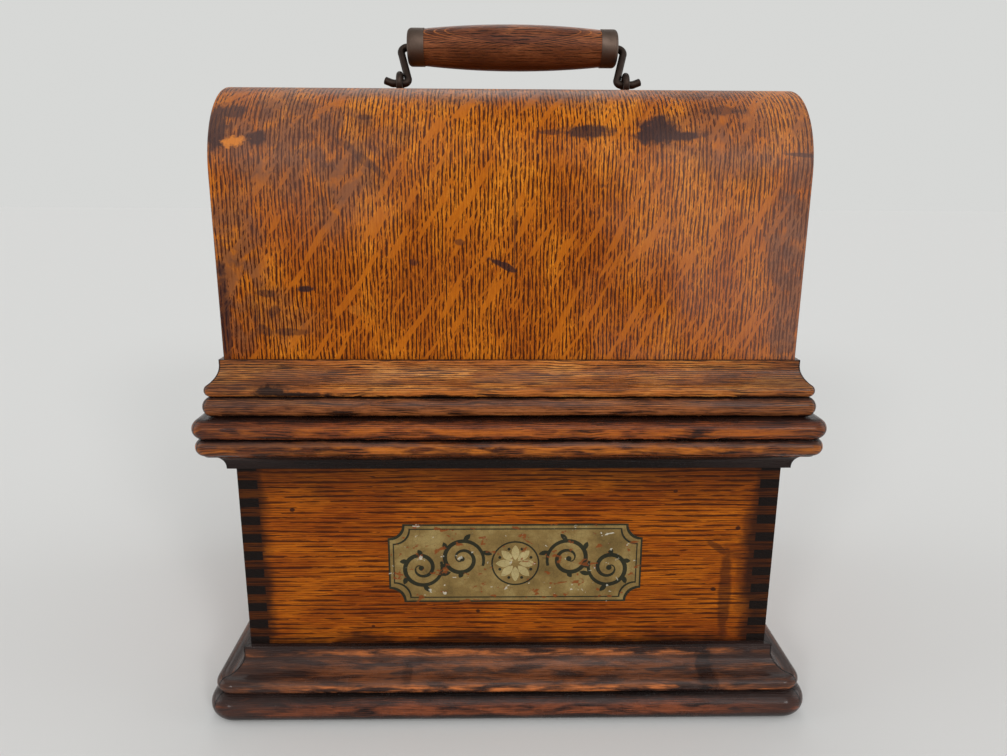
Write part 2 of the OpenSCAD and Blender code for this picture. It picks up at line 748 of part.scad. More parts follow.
module lid_end() difference() {
    along_x(lid_hw - end_t, end_t) lid_profile(skin_t + fit, z_shell);
    stud_holes();
}

module lid_right_end() color("#a65d22") lid_end();
module lid_left_end() color("#a65d22") mirror([1, 0, 0]) lid_end();

module skirt_outline() ogee_outline(lid_over, skirt_over, skirt_nose, skirt_lip, z_shell, skirt_h, skirt_fillet);

module stud_holes() for (s = [0, 1]) mirror([s, 0, 0])
    bar_x(hw + lid_over - end_t / 2, hook_x, 0, stud_z, hook_pin / 2 + fit);

module lid_skirt() color("#8a4f20") difference() {
    frame(lid_bead_over - lid_corner, -lid_over, skirt_over) skirt_outline();
    stud_holes();
}

module lid_bead() color("#7a451d")
    frame(lid_bead_over - lid_corner, lid_bead_in, lid_bead_over)
        bead_outline(z_part, lid_bead_h, lid_bead_over, lid_bead_in);

// Screw eyes: ring, shank through the skin and a nut inside
module handle_eyes() color("#3b332b") for (x = [-eye_x, eye_x]) translate([handle_shift + x, 0, 0]) {
    translate([0, 0, z_eye]) rotate([0, 90, 0]) rotate_extrude() translate([eye_r, 0]) circle(eye_wire / 2);
    translate([0, 0, z_seat - 5]) cylinder(r = eye_wire / 2, h = z_eye - eye_r - z_seat + 5);
    translate([0, 0, z_seat - 3 - fit]) cylinder(r = eye_nut_r, h = 3, $fn = 6);
}

module hook_studs() color("#5c564c") for (s = [0, 1]) mirror([s, 0, 0]) {
    bar_x(hw + lid_over - end_t / 2 + 0.5, hook_x + hook_t + gap, 0, stud_z, hook_pin / 2);
    bar_x(hook_x + hook_t + gap, hook_x + hook_t + gap + 1.6, 0, stud_z, hook_pin / 2 + 1.4);
}

// Everything on the handle is drawn upright on the eye axis and then leaned back
module on_handle() translate([handle_shift, 0, z_eye]) rotate([-bail_lean, 0, 0]) children();

// Barrel-shaped grip, turned, with a tenon in each ferrule
module handle_grip() color("#5b351b") on_handle() translate([0, 0, bail_len]) rotate([0, 90, 0])
    difference() {
        union() {
            rise = (grip_d - grip_end_d) / 2;
            barrel_r = (pow(grip_len / 2, 2) + pow(rise, 2)) / (2 * rise);
            rotate_extrude() intersection() {
                translate([grip_d / 2 - barrel_r, 0]) circle(barrel_r, $fn = 400);
                translate([0, -grip_len / 2]) square([grip_d, grip_len]);
            }
            translate([0, 0, -grip_end + 3]) cylinder(d = grip_end_d - 2.4, h = 2 * (grip_end - 3));
        }
        translate([0, 0, -grip_end]) cylinder(r = bail_r + fit, h = 2 * grip_end);
    }

module handle_ferrules() color("#4a3f36") on_handle() for (s = [0, 1]) mirror([s, 0, 0])
    translate([grip_len / 2, 0, bail_len]) rotate([0, 90, 0]) rotate_extrude() difference() {
        union() {
            square([ferrule_d / 2 - 2.5, ferrule_len]);
            square([ferrule_d / 2, ferrule_len - 2.5]);
            translate([ferrule_d / 2 - 2.5, ferrule_len - 2.5]) circle(2.5);
        }
        translate([0, -1]) square([grip_end_d / 2 - 1.2 + fit, ferrule_len - 2]);
        translate([-1, -1]) square([1 + bail_r + fit, ferrule_len + 2]);
    }

// One arc of the bail wire in the handle's plane
module wire_arc(x, v, r, a0, a1) translate([x, 0, v]) rotate([90, 0, 0]) rotate([0, 0, a0])
    rotate_extrude(angle = a1 - a0) translate([r, 0]) circle(bail_r);

// One straight of the bail wire in the handle's plane, drawn a little thinner and let into the bends
module wire_run(p, len, a) translate([p[0], 0, p[1]]) rotate([0, 90 - a, 0])
    translate([0, 0, -wire_lap]) cylinder(r = bail_r - fit, h = len + 2 * wire_lap);

module handle_bail() color("#3b332b") on_handle() {
    wire_run([-grip_end, bail_len], 2 * grip_end, 0);
    for (s = [0, 1]) mirror([s, 0, 0]) {
        wire_arc(grip_end, bail_len - bend_r, bend_r, -bail_slant, 90);
        wire_run(leg_top, leg_run, -90 - bail_slant);
        wire_arc(bend2_x, bend2_r, bend2_r, 180 - bail_slant, 270);
        wire_run([bend2_x, 0], tail_x - bend2_x, 0);
        wire_arc(tail_x, tail_r, tail_r, 270, 270 + tail_turn);
        wire_run([tail_x + tail_r * sin(tail_turn), tail_r * (1 - cos(tail_turn))], tail_len, tail_turn);
    }
}

// Lid hook, hanging open: eye at the pivot, shank, notched head
module hook() along_x(hook_x + gap / 2, hook_t) translate([0, hook_z]) difference() {
    union() {
        circle(hook_pin / 2 + 2.5);
        translate([-2, -hook_len]) square([4, hook_len]);
        translate([0, -hook_len]) circle(hook_pin / 2 + 3.5);
    }
    circle(hook_pin / 2 + fit);
    translate([0, -hook_len]) circle(hook_pin / 2 + 0.8);
    translate([0, -hook_len - hook_pin / 2 - 0.8]) square([12, hook_pin + 1.6]);
}

module right_hook() color("#6a6357") hook();
module left_hook() color("#6a6357") mirror([1, 0, 0]) hook();

// Hollow tapered mandrel with a web at its left end and a hub disc near its open end
module mandrel() color("#9c9a92") turned_x(x_mandrel, ym, zm) difference() {
    polygon([[shaft_d / 2 + fit, 0], [mandrel_d1 / 2, 0], [mandrel_d2 / 2, mandrel_len],
        [shaft_d / 2 + fit, mandrel_len]]);
    polygon([[shaft_d / 2 + 3, 5], [mandrel_d1 / 2 - mandrel_wall, 5],
        [mandrel_d2 / 2 - mandrel_wall, mandrel_len - 10], [shaft_d / 2 + 3, mandrel_len - 10]]);
    translate([shaft_d / 2 + 2, mandrel_len - 6]) square([mandrel_d2 / 2 - mandrel_wall - shaft_d / 2 - 2, 7]);
}

module mandrel_shaft() color("#83817a") {
    bar_x(x_left - 4, x_mandrel + mandrel_len + 2, ym, zm, shaft_d / 2);
    bar_x(x_left - 4, x_left - gap, ym, zm, shaft_d / 2 + 3);
    bar_x(x_left + std_t + gap, x_left + std_t + gap + 4, ym, zm, shaft_d / 2 + 3);
}

// Flanged pulley outline: hub, web, rim with a groove
module pulley_outline(r, bore) difference() {
    square([r + 4, pulley_w]);
    translate([-1, -1]) square([1 + bore, pulley_w + 2]);
    translate([r, 1.5]) square([10, pulley_w - 3]);
    for (v = [-1, pulley_w - 3.5]) translate([bore + 4, v]) square([r - 4 - bore - 4, 4.5]);
}

module mandrel_pulley() color("#35322c")
    turned_x(x_belt - pulley_w / 2, ym, zm) pulley_outline(pulley_r, shaft_d / 2 + fit);

module mandrel_gear() color("#b08d4a") difference() {
    union() {
        gear(x_gear, gear_t, ym, zm, mandrel_teeth, feed_m, feed_angle);
        bar_x(x_gear + gear_t, x_gear + gear_t + 5, ym, zm, shaft_d / 2 + 4);
    }
    bar_x(x_gear - 1, x_gear + gear_t + 6, ym, zm, shaft_d / 2 + fit);
}

module feed_screw() color("#a8a69f") {
    bar_x(x_left - 2, x_right + std_t, yf, zf, feed_d / 2);
    bar_x(x_left + std_t + gap, x_left + std_t + gap + 4, yf, zf, feed_d / 2 + 3);
    bar_x(x_left - 4, x_left - gap, yf, zf, feed_d / 2 + 3);
}

// Feed gear with six round lightening holes
module feed_gear() color("#b08d4a") difference() {
    union() {
        gear(x_gear, gear_t, yf, zf, feed_teeth, feed_m, feed_angle + 180 + 180 / feed_teeth);
        bar_x(x_gear - 4, x_gear + gear_t + 4, yf, zf, feed_d / 2 + 4);
    }
    bar_x(x_gear - 5, x_gear + gear_t + 5, yf, zf, feed_d / 2 + fit);
    for (a = [0 : 60 : 300]) bar_x(x_gear - 1, x_gear + gear_t + 1, yf + 21 * cos(a), zf + 21 * sin(a), 6);
}

// Carriage sleeve on the feed tube, with the nut tongue down in the tube's slot
module carriage_sleeve() color("#a98544") {
    difference() {
        union() {
            bar_x(sleeve_x, sleeve_x + sleeve_len, yf, zf, sleeve_d / 2);
            bar_x(sleeve_x, sleeve_x + flange_t, yf, zf, sleeve_d / 2 + 2);
            bar_x(sleeve_x + sleeve_len - flange_t, sleeve_x + sleeve_len, yf, zf, sleeve_d / 2 + 2);
        }
        bar_x(sleeve_x - 1, sleeve_x + sleeve_len + 1, yf, zf, tube_d / 2 + fit);
    }
    difference() {
        translate([sleeve_x + sleeve_len / 2 - 5, yf - slot_w / 2 + gap / 2, zf - sleeve_d / 2 + 1])
            cube([10, slot_w - gap, sleeve_d / 2 - 1]);
        bar_x(sleeve_x, sleeve_x + sleeve_len, yf, zf, feed_d / 2 + gap / 2);
    }
}

// Carriage arm: hub on the sleeve, bar and the ring that carries the reproducer
module carriage_arm() color("#8f8c84") difference() {
    union() {
        bar_x(sleeve_x + flange_t + gap / 2, sleeve_x + sleeve_len - flange_t - gap / 2, yf, zf, hub_d / 2);
        translate([x_repro - 7, ym, z_carrier + 1]) cube([14, yf - ym, carrier_t - 2]);
        translate([x_repro, ym, z_carrier]) cylinder(d = carrier_d, h = carrier_t);
    }
    bar_x(sleeve_x, sleeve_x + sleeve_len, yf, zf, sleeve_d / 2 + fit);
    translate([x_repro, ym, z_carrier - 1]) cylinder(d = repro_d + 2 * fit, h = carrier_t + 2);
}

// Reproducer body, turned: recess for the diaphragm, sound chamber, flange and horn neck
module reproducer_body() color("#b5b2aa") translate([x_repro, ym, z_cup]) rotate_extrude() difference() {
    union() {
        square([repro_d / 2, repro_h]);
        translate([0, repro_h]) square([repro_d / 2 + 1.5, 2]);
        translate([0, repro_h + 2]) polygon([[0, 0], [repro_d / 2 - 3, 0], [neck_d / 2 + 1, 4], [0, 4]]);
        translate([0, repro_h]) square([neck_d / 2, neck_h]);
    }
    translate([-1, -1]) square([1 + repro_d / 2 - 2, 4]);
    translate([-1, -1]) square([1 + repro_d / 2 - 5, 6]);
    translate([-1, -1]) square([1 + neck_d / 2 - 1.8, repro_h + neck_h + 2]);
}

module diaphragm() color("#d8d3c4") translate([x_repro, ym, z_cup + 2.4])
    cylinder(r = repro_d / 2 - 2 - fit, h = 0.6);

module diaphragm_ring() color("#2d2b27") translate([x_repro, ym, z_cup]) difference() {
    cylinder(r = repro_d / 2 - 2 - fit, h = 2.4);
    translate([0, 0, -1]) cylinder(r = repro_d / 2 - 5.5, h = 5);
}

// Stylus lever: foot on the ring, bar, link to the diaphragm and the rounded stylus
module stylus_lever() color("#c7c2b6") translate([x_repro, ym, z_cup]) {
    translate([-2, repro_d / 2 - 5, -3]) cube([4, 2.5, 3]);
    translate([-1.5, -1.5, -3]) cube([3, repro_d / 2 - 2, 2]);
    translate([0, 0, -1]) cylinder(r = 0.8, h = 3.4);
    translate([0, 0, -4.2]) cylinder(r1 = 0.7, r2 = 1.2, h = 1.2);
    translate([0, 0, -4.2]) sphere(0.7);
}

// Start lever: spindle through the deck, brake finger below, lever and knob above
module start_lever() color("#8d8678") {
    top = z_bed + 6;
    translate([start_x, start_y, start_z - 5]) cylinder(r = arbor_r, h = top - start_z + 8);
    translate([start_x, start_y, z_bed + gap]) cylinder(r = arbor_r + 2, h = 3);
    translate([start_x - 6, yg + 6, start_z - 3]) cube([4.5, 19, 6]);
    bar_x(x_disc + disc_t + gap, start_x - 5, yg + 9, start_z, 2.5);
    translate([start_x, start_y, top - 3]) rotate([0, 0, -55]) {
        linear_extrude(3) round_rect(-5, -4, 40, 4, 3.9);
        translate([35, 0, 3]) cylinder(r = 3.5, h = 6);
    }
}

// Speed screw over the governor's disc, with a grip rim on its knob
module speed_screw() color("#a98544") {
    low = zg + disc_d / 2 + gap;
    translate([speed_x, yg, low]) cylinder(r = 2.5, h = z_bed + 2 - low);
    translate([speed_x, yg, z_bed + gap]) cylinder(r = 4.5, h = 3);
    difference() {
        translate([speed_x, yg, z_bed + 3]) cylinder(r = 7, h = 6);
        for (a = [0 : 30 : 330]) translate([speed_x + 7.6 * cos(a), yg + 7.6 * sin(a), z_bed + 2])
            cylinder(r = 1.1, h = 8);
    }
}

// Spring barrel: toothed end, hub and open cup
module spring_barrel() color("#b08d4a") difference() {
    union() {
        gear(x_bgear, bgear_t, yb, zb, barrel_teeth, barrel_m, a1);
        bar_x(x_bgear - 5, x_bgear, yb, zb, wind_d / 2 + 5);
        bar_x(x_cup, x_cover, yb, zb, barrel_d / 2);
    }
    bar_x(x_bgear - 6, x_cover, yb, zb, wind_d / 2 + fit);
    bar_x(x_cup, x_cover + 1, yb, zb, barrel_d / 2 - barrel_wall);
}

module barrel_cover() color("#a4823f") difference() {
    union() {
        bar_x(x_cover, x_cover + cover_t, yb, zb, barrel_d / 2);
        bar_x(x_cover + cover_t, x_cover + cover_t + 5, yb, zb, wind_d / 2 + 5);
    }
    bar_x(x_cover - 1, x_cover + cover_t + 6, yb, zb, wind_d / 2 + fit);
}

// Mainspring: one unbroken strip wound from the hub out to the barrel's wall
spring_in = spring_hub_r + gap;
spring_out = barrel_d / 2 - barrel_wall - fit - spring_t;
spring_step = 15;
function spring_at(a, off) = polar(spring_in + (spring_out - spring_in) * a / (360 * spring_turns) + off, a);
module mainspring() color("#6f7478") along_x(x_cup + 1, barrel_len - 2) translate([yb, zb]) polygon([
    for (a = [0 : spring_step : 360 * spring_turns]) spring_at(a, 0),
    for (a = [360 * spring_turns : -spring_step : 0]) spring_at(a, spring_t)]);

// Winding arbor: spring hub inside the barrel, crank socket in the right board
module winding_arbor() color("#83817a") difference() {
    union() {
        bar_x(x_pl - 4, hw - 1.5, yb, zb, wind_d / 2);
        bar_x(x_pl - 4, x_pl - gap, yb, zb, wind_d / 2 + 3);
        bar_x(x_cup + gap, x_cover - gap, yb, zb, spring_hub_r);
        bar_x(hw - 1.5 - socket_deep - 12, hw - 1.5, yb, zb, socket_d / 2);
        bar_x(x_pr + plate_t + 16 + gap, x_pr + plate_t + 20, yb, zb, wind_d / 2 + 3);
    }
    bar_x(hw - 1.5 - socket_deep, hw, yb, zb, socket_bore / 2);
}

// An arbor between the plates with a reduced pivot at each end
module arbor(y, z, r, rp) {
    bar_x(x_in0 + gap, x_pr - gap, y, z, r);
    bar_x(x_pl, x_pr + plate_t, y, z, rp);
}

module second_arbor() color("#a89a72") {
    arbor(y2, z2, arbor_r, pivot_r);
    gear(x_bgear - 2, bgear_t + 4, y2, z2, pinion_teeth, barrel_m, a1 + 180 + 180 / pinion_teeth);
    gear(x_bgear - 11, 3, y2, z2, second_teeth, second_m, a2);
    bar_x(x_bgear - 8, x_bgear - 2, y2, z2, arbor_r + 2);
}

module third_arbor() color("#a89a72") {
    arbor(y3, z3, arbor_r, pivot_r);
    bar_x(x_belt - pulley_w / 2 - 2, x_in0 + 1, y3, z3, arbor_r);
    gear(x_bgear - 13, 7, y3, z3, pinion_teeth, second_m, a2 + 180 + 180 / pinion_teeth);
    gear(x_bgear - 20, 2.5, y3, z3, third_teeth, third_m, a3);
    bar_x(x_bgear - 17.5, x_bgear - 13, y3, z3, arbor_r + 1.5);
}

module drive_pulley() color("#35322c")
    turned_x(x_belt - pulley_w / 2, y3, z3) pulley_outline(drive_r, arbor_r + fit);

// Governor spindle with its pinion, two collars and the friction disc
module governor_spindle() color("#a89a72") {
    arbor(yg, zg, gov_r, pivot_r - 0.5);
    gear(x_bgear - 22, 6, yg, zg, pinion_teeth, third_m, a3 + 180 + 180 / pinion_teeth);
    bar_x(x_gov, x_gov + collar_t, yg, zg, collar_r);
    bar_x(x_disc - 4, x_disc, yg, zg, collar_r);
    bar_x(x_disc, x_disc + disc_t, yg, zg, disc_d / 2);
}

// Three weights, each on a bowed leaf spring between the collars
module governor_weights() color("#6c6a66") for (a = [0, 120, 240]) {
    x0 = x_gov + collar_t;
    x1 = x_disc - 4;
    rise = weight_r - collar_r + 1;
    bow_r = (pow((x1 - x0) / 2, 2) + rise * rise) / (2 * rise);
    translate([(x0 + x1) / 2, yg, zg]) rotate([a, 0, 0]) {
        translate([0, leaf_w / 2, 0]) rotate([90, 0, 0]) linear_extrude(leaf_w) intersection() {
            translate([0, weight_r - bow_r]) difference() {
                circle(bow_r + leaf_t / 2);
                circle(bow_r - leaf_t / 2);
            }
            translate([(x0 - x1) / 2, 0]) square([x1 - x0, weight_r + 5]);
        }
        translate([0, 0, weight_r - weight_d * 0.35]) cylinder(d = weight_d, h = weight_d * 0.7);
    }
}

front_board();
back_board();
left_board();
right_board();
bottom_panel();
base_rail();
plinth_moulding();
cornice_moulding();
cornice_bead();
locating_lip();
ledger_rails();
motor_board();
bedplate();
deck_screws();
crank_escutcheon();
hook_pivots();
left_standard();
centre_standard();
right_standard();
feed_tube();
motor_left_plate();
motor_right_plate();
motor_pillars();
winding_clutch();
drive_belt();
lid_skin();
lid_left_end();
lid_right_end();
lid_skirt();
lid_bead();
handle_eyes();
hook_studs();
handle_grip();
handle_ferrules();
handle_bail();
left_hook();
right_hook();
mandrel();
mandrel_shaft();
mandrel_pulley();
mandrel_gear();
feed_screw();
feed_gear();
carriage_sleeve();
carriage_arm();
reproducer_body();
diaphragm();
diaphragm_ring();
stylus_lever();
start_lever();
speed_screw();
spring_barrel();
barrel_cover();
mainspring();
winding_arbor();
second_arbor();
third_arbor();
drive_pulley();
governor_spindle();
governor_weights();
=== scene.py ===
"""Looks of a table cylinder phonograph in a closed oak case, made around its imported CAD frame.
Sizes are in metres. +X is to the right seen from the front, +Y to the back, +Z up."""

import math

import bmesh
import bpy
from mathutils import Matrix, Vector


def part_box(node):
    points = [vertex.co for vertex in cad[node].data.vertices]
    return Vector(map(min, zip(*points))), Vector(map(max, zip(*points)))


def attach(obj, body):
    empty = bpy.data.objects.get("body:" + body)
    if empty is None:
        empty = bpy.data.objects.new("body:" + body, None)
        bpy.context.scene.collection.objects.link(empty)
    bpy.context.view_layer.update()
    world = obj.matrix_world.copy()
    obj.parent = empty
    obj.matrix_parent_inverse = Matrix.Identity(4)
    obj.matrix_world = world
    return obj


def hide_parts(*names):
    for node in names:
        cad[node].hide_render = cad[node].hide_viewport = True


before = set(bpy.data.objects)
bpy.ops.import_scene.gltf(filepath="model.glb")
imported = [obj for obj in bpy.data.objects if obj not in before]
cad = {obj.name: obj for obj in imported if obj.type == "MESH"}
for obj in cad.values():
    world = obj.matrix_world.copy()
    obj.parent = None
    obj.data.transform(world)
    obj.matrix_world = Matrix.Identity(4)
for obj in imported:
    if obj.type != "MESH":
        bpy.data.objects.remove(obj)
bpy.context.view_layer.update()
scene = bpy.context.scene
MM = 0.001


# Case boards
# Four oak boards, glued at the corners with square fingers of 3/16 in, so that each end shows as a row of
# dark squares. Quarter-sawn, stained amber and varnished; the grain runs round the case.
def srgb(code):
    """Linear colour of an sRGB hex value such as '#AB6122'."""
    parts = [int(code[i : i + 2], 16) / 255 for i in (1, 3, 5)]
    return (*(c / 12.92 if c <= 0.04045 else ((c + 0.055) / 1.055) ** 2.4 for c in parts), 1)


def node(tree, kind, *values, out=0, stops=(), **named):
    """Adds a shader node and returns one of its outputs. Values fill its sockets in turn; a named value is a
    socket where it starts with a capital letter, and otherwise a setting. Stops are a ramp's (place, hex)."""
    made = tree.nodes.new("ShaderNode" + kind)
    for name, value in named.items():
        if name[0].islower():
            setattr(made, name, value)
    for i, (place, code) in enumerate(stops):
        stop = made.color_ramp.elements[i] if i < 2 else made.color_ramp.elements.new(place)
        stop.position, stop.color = place, srgb(code)
    filled = list(zip([s for s in made.inputs if s.enabled], values))
    filled += [(made.inputs[name.replace("_", " ")], v) for name, v in named.items() if name[0].isupper()]
    for socket, value in filled:
        if isinstance(value, bpy.types.NodeSocket):
            tree.links.new(value, socket)
        else:
            socket.default_value = srgb(value) if isinstance(value, str) else value
    shown = [o for o in made.outputs if o.enabled]
    return made.outputs[out] if isinstance(out, str) else shown[out] if shown else made


def new_material(name):
    """An empty material and its node tree."""
    material = bpy.data.materials.new(name)
    material.use_nodes = True
    material.node_tree.nodes.clear()
    return material, material.node_tree


def finish_surface(tree, colour, pits, rough, depth, **sockets):
    """Ends a material: the surface with its colour and roughness, hollowed to a depth where pits is 1."""
    normal = node(tree, "Bump", Height=pits, Distance=depth, invert=True)
    surface = node(tree, "BsdfPrincipled", Base_Color=colour, Roughness=rough, Normal=normal, **sockets)
    node(tree, "OutputMaterial", surface)


def streaks(tree, lie, along, across, low, high, share=1.0, detail=2.0, warp=0.3):
    """Streaks of about that length and width: 0 where the noise is below low, the share above high."""
    sized = node(tree, "VectorMath", lie, (1 / along, 1 / across, 1 / across), operation="MULTIPLY")
    cloud = node(tree, "TexNoise", sized, Scale=1.0, Detail=detail, Roughness=0.55, Distortion=warp)
    return node(tree, "MapRange", cloud, low, high, 0.0, share, interpolation_type="SMOOTHSTEP")


def pore_dashes(tree, lie, pitch, run, low, high, share=1.0, sway=0.9, comb=0.22):
    """Open pores that the saw has cut: rows of dashes along the grain, a pitch apart and about a run long.
    lie is the place as (along the grain, across it, into it)."""
    # The rows wander sideways by up to a sway of the pitch
    slow = node(tree, "VectorMath", lie, (0.2 / run, 0.16 / pitch, 0.16 / pitch), operation="MULTIPLY")
    bend = node(tree, "TexNoise", slow, Scale=1.0, Detail=1.5)
    shift = node(tree, "MapRange", bend, 0.0, 1.0, -sway, sway)
    across = node(tree, "SeparateXYZ", lie, out="Y")
    row = node(tree, "Math", across, 1 / pitch, shift, operation="MULTIPLY_ADD")
    turn = node(tree, "Math", row, 2 * math.pi, operation="MULTIPLY")
    wave = node(tree, "Math", turn, operation="COSINE")
    # A noise cuts them into dashes, and the comb says how strictly these keep to the rows
    sized = node(tree, "VectorMath", lie, (1 / run, 1.3 / pitch, 1.3 / pitch), operation="MULTIPLY")
    cut = node(tree, "TexNoise", sized, Scale=1.0, Detail=3.0, Roughness=0.6)
    both = node(tree, "Math", wave, comb, cut, operation="MULTIPLY_ADD")
    return node(tree, "MapRange", both, low, high, 0.0, share, interpolation_type="SMOOTHSTEP")


def oak_figure(tree, lie, tones, pore, pitch, run, share=0.9, open_at=0.66):
    """Oak in the solid: slow tones, fine fibres and dark pores of two sizes, more of them where open_at is
    low. Returns the colour and the pores."""
    slow = streaks(tree, lie, 3 * run, 7 * pitch, 0.3, 0.7, 0.6, detail=3.0)
    fibre = streaks(tree, lie, 0.5 * run, 0.2 * pitch, 0.32, 0.68, 0.45, detail=4.0)
    tone = node(tree, "Math", slow, fibre, operation="ADD")
    colour = node(tree, "ValToRGB", tone, stops=tones)
    large = pore_dashes(tree, lie, pitch, run, open_at, open_at + 0.04, share)
    small = pore_dashes(tree, lie, 0.45 * pitch, 0.5 * run, open_at - 0.06, open_at, 0.62 * share)
    pores = node(tree, "Math", large, small, operation="MAXIMUM")
    return node(tree, "Mix", pores, colour, pore, data_type="RGBA"), pores


def spots(tree, face, marks, grit, fray=0.9, soft=0.27):
    """Spots on a face: each mark is (x, up, half width, half height) in mm, its turn in degrees and its
    share. Their rims are frayed by a noise of that grit size and fade over a soft share of the half size."""
    crumbs = node(tree, "TexNoise", face, Scale=1 / grit, Detail=4.0, Roughness=0.6)
    rim = node(tree, "MapRange", crumbs, 0.2, 0.8, -fray, fray)
    strongest = 0.0
    for x, up, half_x, half_up, turn, share in marks:
        near = node(tree, "Mapping", face, (x * MM, up * MM, 0), (0, 0, math.radians(turn)),
            (half_x * MM, half_up * MM, 1), vector_type="TEXTURE")
        reach = node(tree, "VectorMath", near, operation="LENGTH")
        frayed = node(tree, "Math", reach, rim, operation="ADD")
        spot = node(tree, "MapRange", frayed, 1 + soft, 1 - soft, 0.0, share, interpolation_type="SMOOTHSTEP")
        strongest = node(tree, "Math", spot, strongest, operation="MAXIMUM")
    return strongest


case_low, case_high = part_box("front_board")
half_w, half_d = case_high.x, -case_low.y
wall = case_high.y + half_d
cove_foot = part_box("cornice_moulding")[0].z
plinth_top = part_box("plinth_moulding")[1].z


def board_oak(name, turned, foot, top, marks=()):
    """Oak under amber varnish: short dark pores on golden bands, with the low gloss of an old coat. Turned
    boards have their grain along Y. Painted shade and dirt darken it under the cornice at the top, dirt
    creeps in from the moulding at the foot and from the finger joints at the corners, and marks are old
    spills."""
    material, tree = new_material(name)
    place = node(tree, "TexCoord", out="Object")
    x, y, z = node(tree, "SeparateXYZ", place).node.outputs
    along, deep = (y, x) if turned else (x, y)
    # The rows of pores lean a little as they go into the board
    row_lean = 0.3
    level = node(tree, "Math", deep, row_lean, z, operation="MULTIPLY_ADD")
    lie = node(tree, "CombineXYZ", along, level, deep)
    tones = [(0.0, "#722F05"), (0.4, "#8C4308"), (0.75, "#A0530B"), (1.0, "#B46212")]
    pore_pitch, pore_run, pore_deep = 2.7 * MM, 20 * MM, 0.12 * MM
    colour, pores = oak_figure(tree, lie, tones, "#341204", pore_pitch, pore_run)
    # The painted shade and dirt reach further in under the cornice than the dirt over the plinth or beside
    # the fingers
    top_reach, foot_reach, corner_reach, fray = 26 * MM, 7 * MM, 7 * MM, 5 * MM
    cloud_size = 50 / 3 * MM
    cloud = node(tree, "TexNoise", place, Scale=1 / cloud_size, Detail=4.0)
    ragged = node(tree, "MapRange", cloud, 0.2, 0.8, -fray, fray)
    height = node(tree, "Math", z, ragged, operation="ADD")
    # Painted shade of the cornice's overhang, laid on with dirt in one dark band at the top of the board
    shade_and_dirt_under_top = node(tree, "MapRange", height, top - top_reach, top, 0.0, 0.62,
        interpolation_type="SMOOTHSTEP")
    over_foot = node(tree, "MapRange", height, foot + foot_reach, foot, 0.0, 0.8,
        interpolation_type="SMOOTHSTEP")
    side = node(tree, "Math", along, operation="ABSOLUTE")
    reach = node(tree, "Math", side, ragged, operation="ADD")
    fingers = (half_d if turned else half_w) - wall
    corner = node(tree, "MapRange", reach, fingers - corner_reach, fingers + 1 * MM, 0.0, 0.84,
        interpolation_type="SMOOTHSTEP")
    # One darkening of painted shade under the cornice and dirt at the foot and the corners
    shade_and_grime = node(tree, "Math", shade_and_dirt_under_top, over_foot, operation="MAXIMUM")
    shade_and_grime = node(tree, "Math", shade_and_grime, corner, operation="MAXIMUM")
    colour = node(tree, "Mix", shade_and_grime, colour, "#1C0D08", data_type="RGBA")
    if marks:
        face = node(tree, "CombineXYZ", x, z, 0.0)
        spilt = spots(tree, face, marks, 6 * MM, fray=0.35)
        colour = node(tree, "Mix", spilt, colour, "#25110B", data_type="RGBA")
    # End grain drinks the stain and shows as black squares between the other board's fingers
    facing = node(tree, "TexCoord", out="Normal")
    ends = node(tree, "SeparateXYZ", facing, out="Y" if turned else "X")
    square_on = node(tree, "Math", ends, operation="ABSOLUTE")
    end_grain = node(tree, "MapRange", square_on, 0.6, 0.8, 0.0, 0.95)
    colour = node(tree, "Mix", end_grain, colour, "#100C0B", data_type="RGBA")
    rough = node(tree, "MapRange", cloud, 0.0, 1.0, 0.28, 0.5)
    finish_surface(tree, colour, pores, rough, pore_deep, Specular_IOR_Level=0.09)
    return material


def dress(material, *names):
    """Gives CAD nodes a material and smooth shading that keeps edges over 30 degrees crisp."""
    for name in names:
        mesh = cad[name].data
        mesh.materials.clear()
        mesh.materials.append(material)
        mesh.shade_smooth()
        mesh.set_sharp_from_angle(angle=math.radians(30))


# Spills and dents on the front as (across, up, half width, half height) in mm, turn and share
front_marks = [(110.5, 62, 3.2, 26, 1, 0.6), (105, 87.5, 7, 1.7, -37, 0.6), (117, 84, 9, 3, 0, 0.45),
    (124, 78, 8, 42, 0, 0.4), (-107.8, 108.5, 1.3, 1.0, 0, 0.9), (-16.1, 52.4, 1.2, 0.9, 0, 0.9),
    (104.5, 64.2, 1.4, 1.0, 0, 0.9), (114.7, 98.1, 1.4, 1.1, 0, 0.9), (-70, 44, 1.0, 0.8, 0, 0.8),
    (82, 118, 1.1, 0.8, 0, 0.8)]
dress(board_oak("oak front varnished", False, plinth_top, cove_foot, front_marks), "front_board")
dress(board_oak("oak back varnished", False, plinth_top, cove_foot), "back_board")
dress(board_oak("oak sides varnished", True, plinth_top, cove_foot), "left_board", "right_board")


# Front ornament
# A transfer slid on under the last coat of varnish: an oblong gilt tablet with hollowed corners, a rosette
# and running scrolls in dark green, dulled to old gold and flaked down to the oak in places.
# Its middle on the board, half its width and height, the radius of its corners, and the print's thickness
tablet_x, tablet_z = 2.85 * MM, 79.2 * MM
tablet_w, tablet_h, hollow = 64 * MM, 21.5 * MM, 7.5 * MM
film = 0.12 * MM


def arc(cx, cz, radius, start, stop, steps):
    """Points of an arc between two angles in degrees."""
    turns = [math.radians(start + (stop - start) * i / steps) for i in range(steps + 1)]
    return [(cx + radius * math.cos(t), cz + radius * math.sin(t)) for t in turns]


def tablet_outline(inset):
    """The tablet's outline with a hollow quarter circle at each corner, moved inwards."""
    w, h = tablet_w - inset, tablet_h - inset
    reach = hollow + 0.25 * inset
    corners = [(1, 1, 270, 180), (-1, 1, 0, -90), (-1, -1, 90, 0), (1, -1, 180, 90)]
    return [p for sx, sz, start, stop in corners for p in arc(sx * w, sz * h, reach, start, stop, 10)]


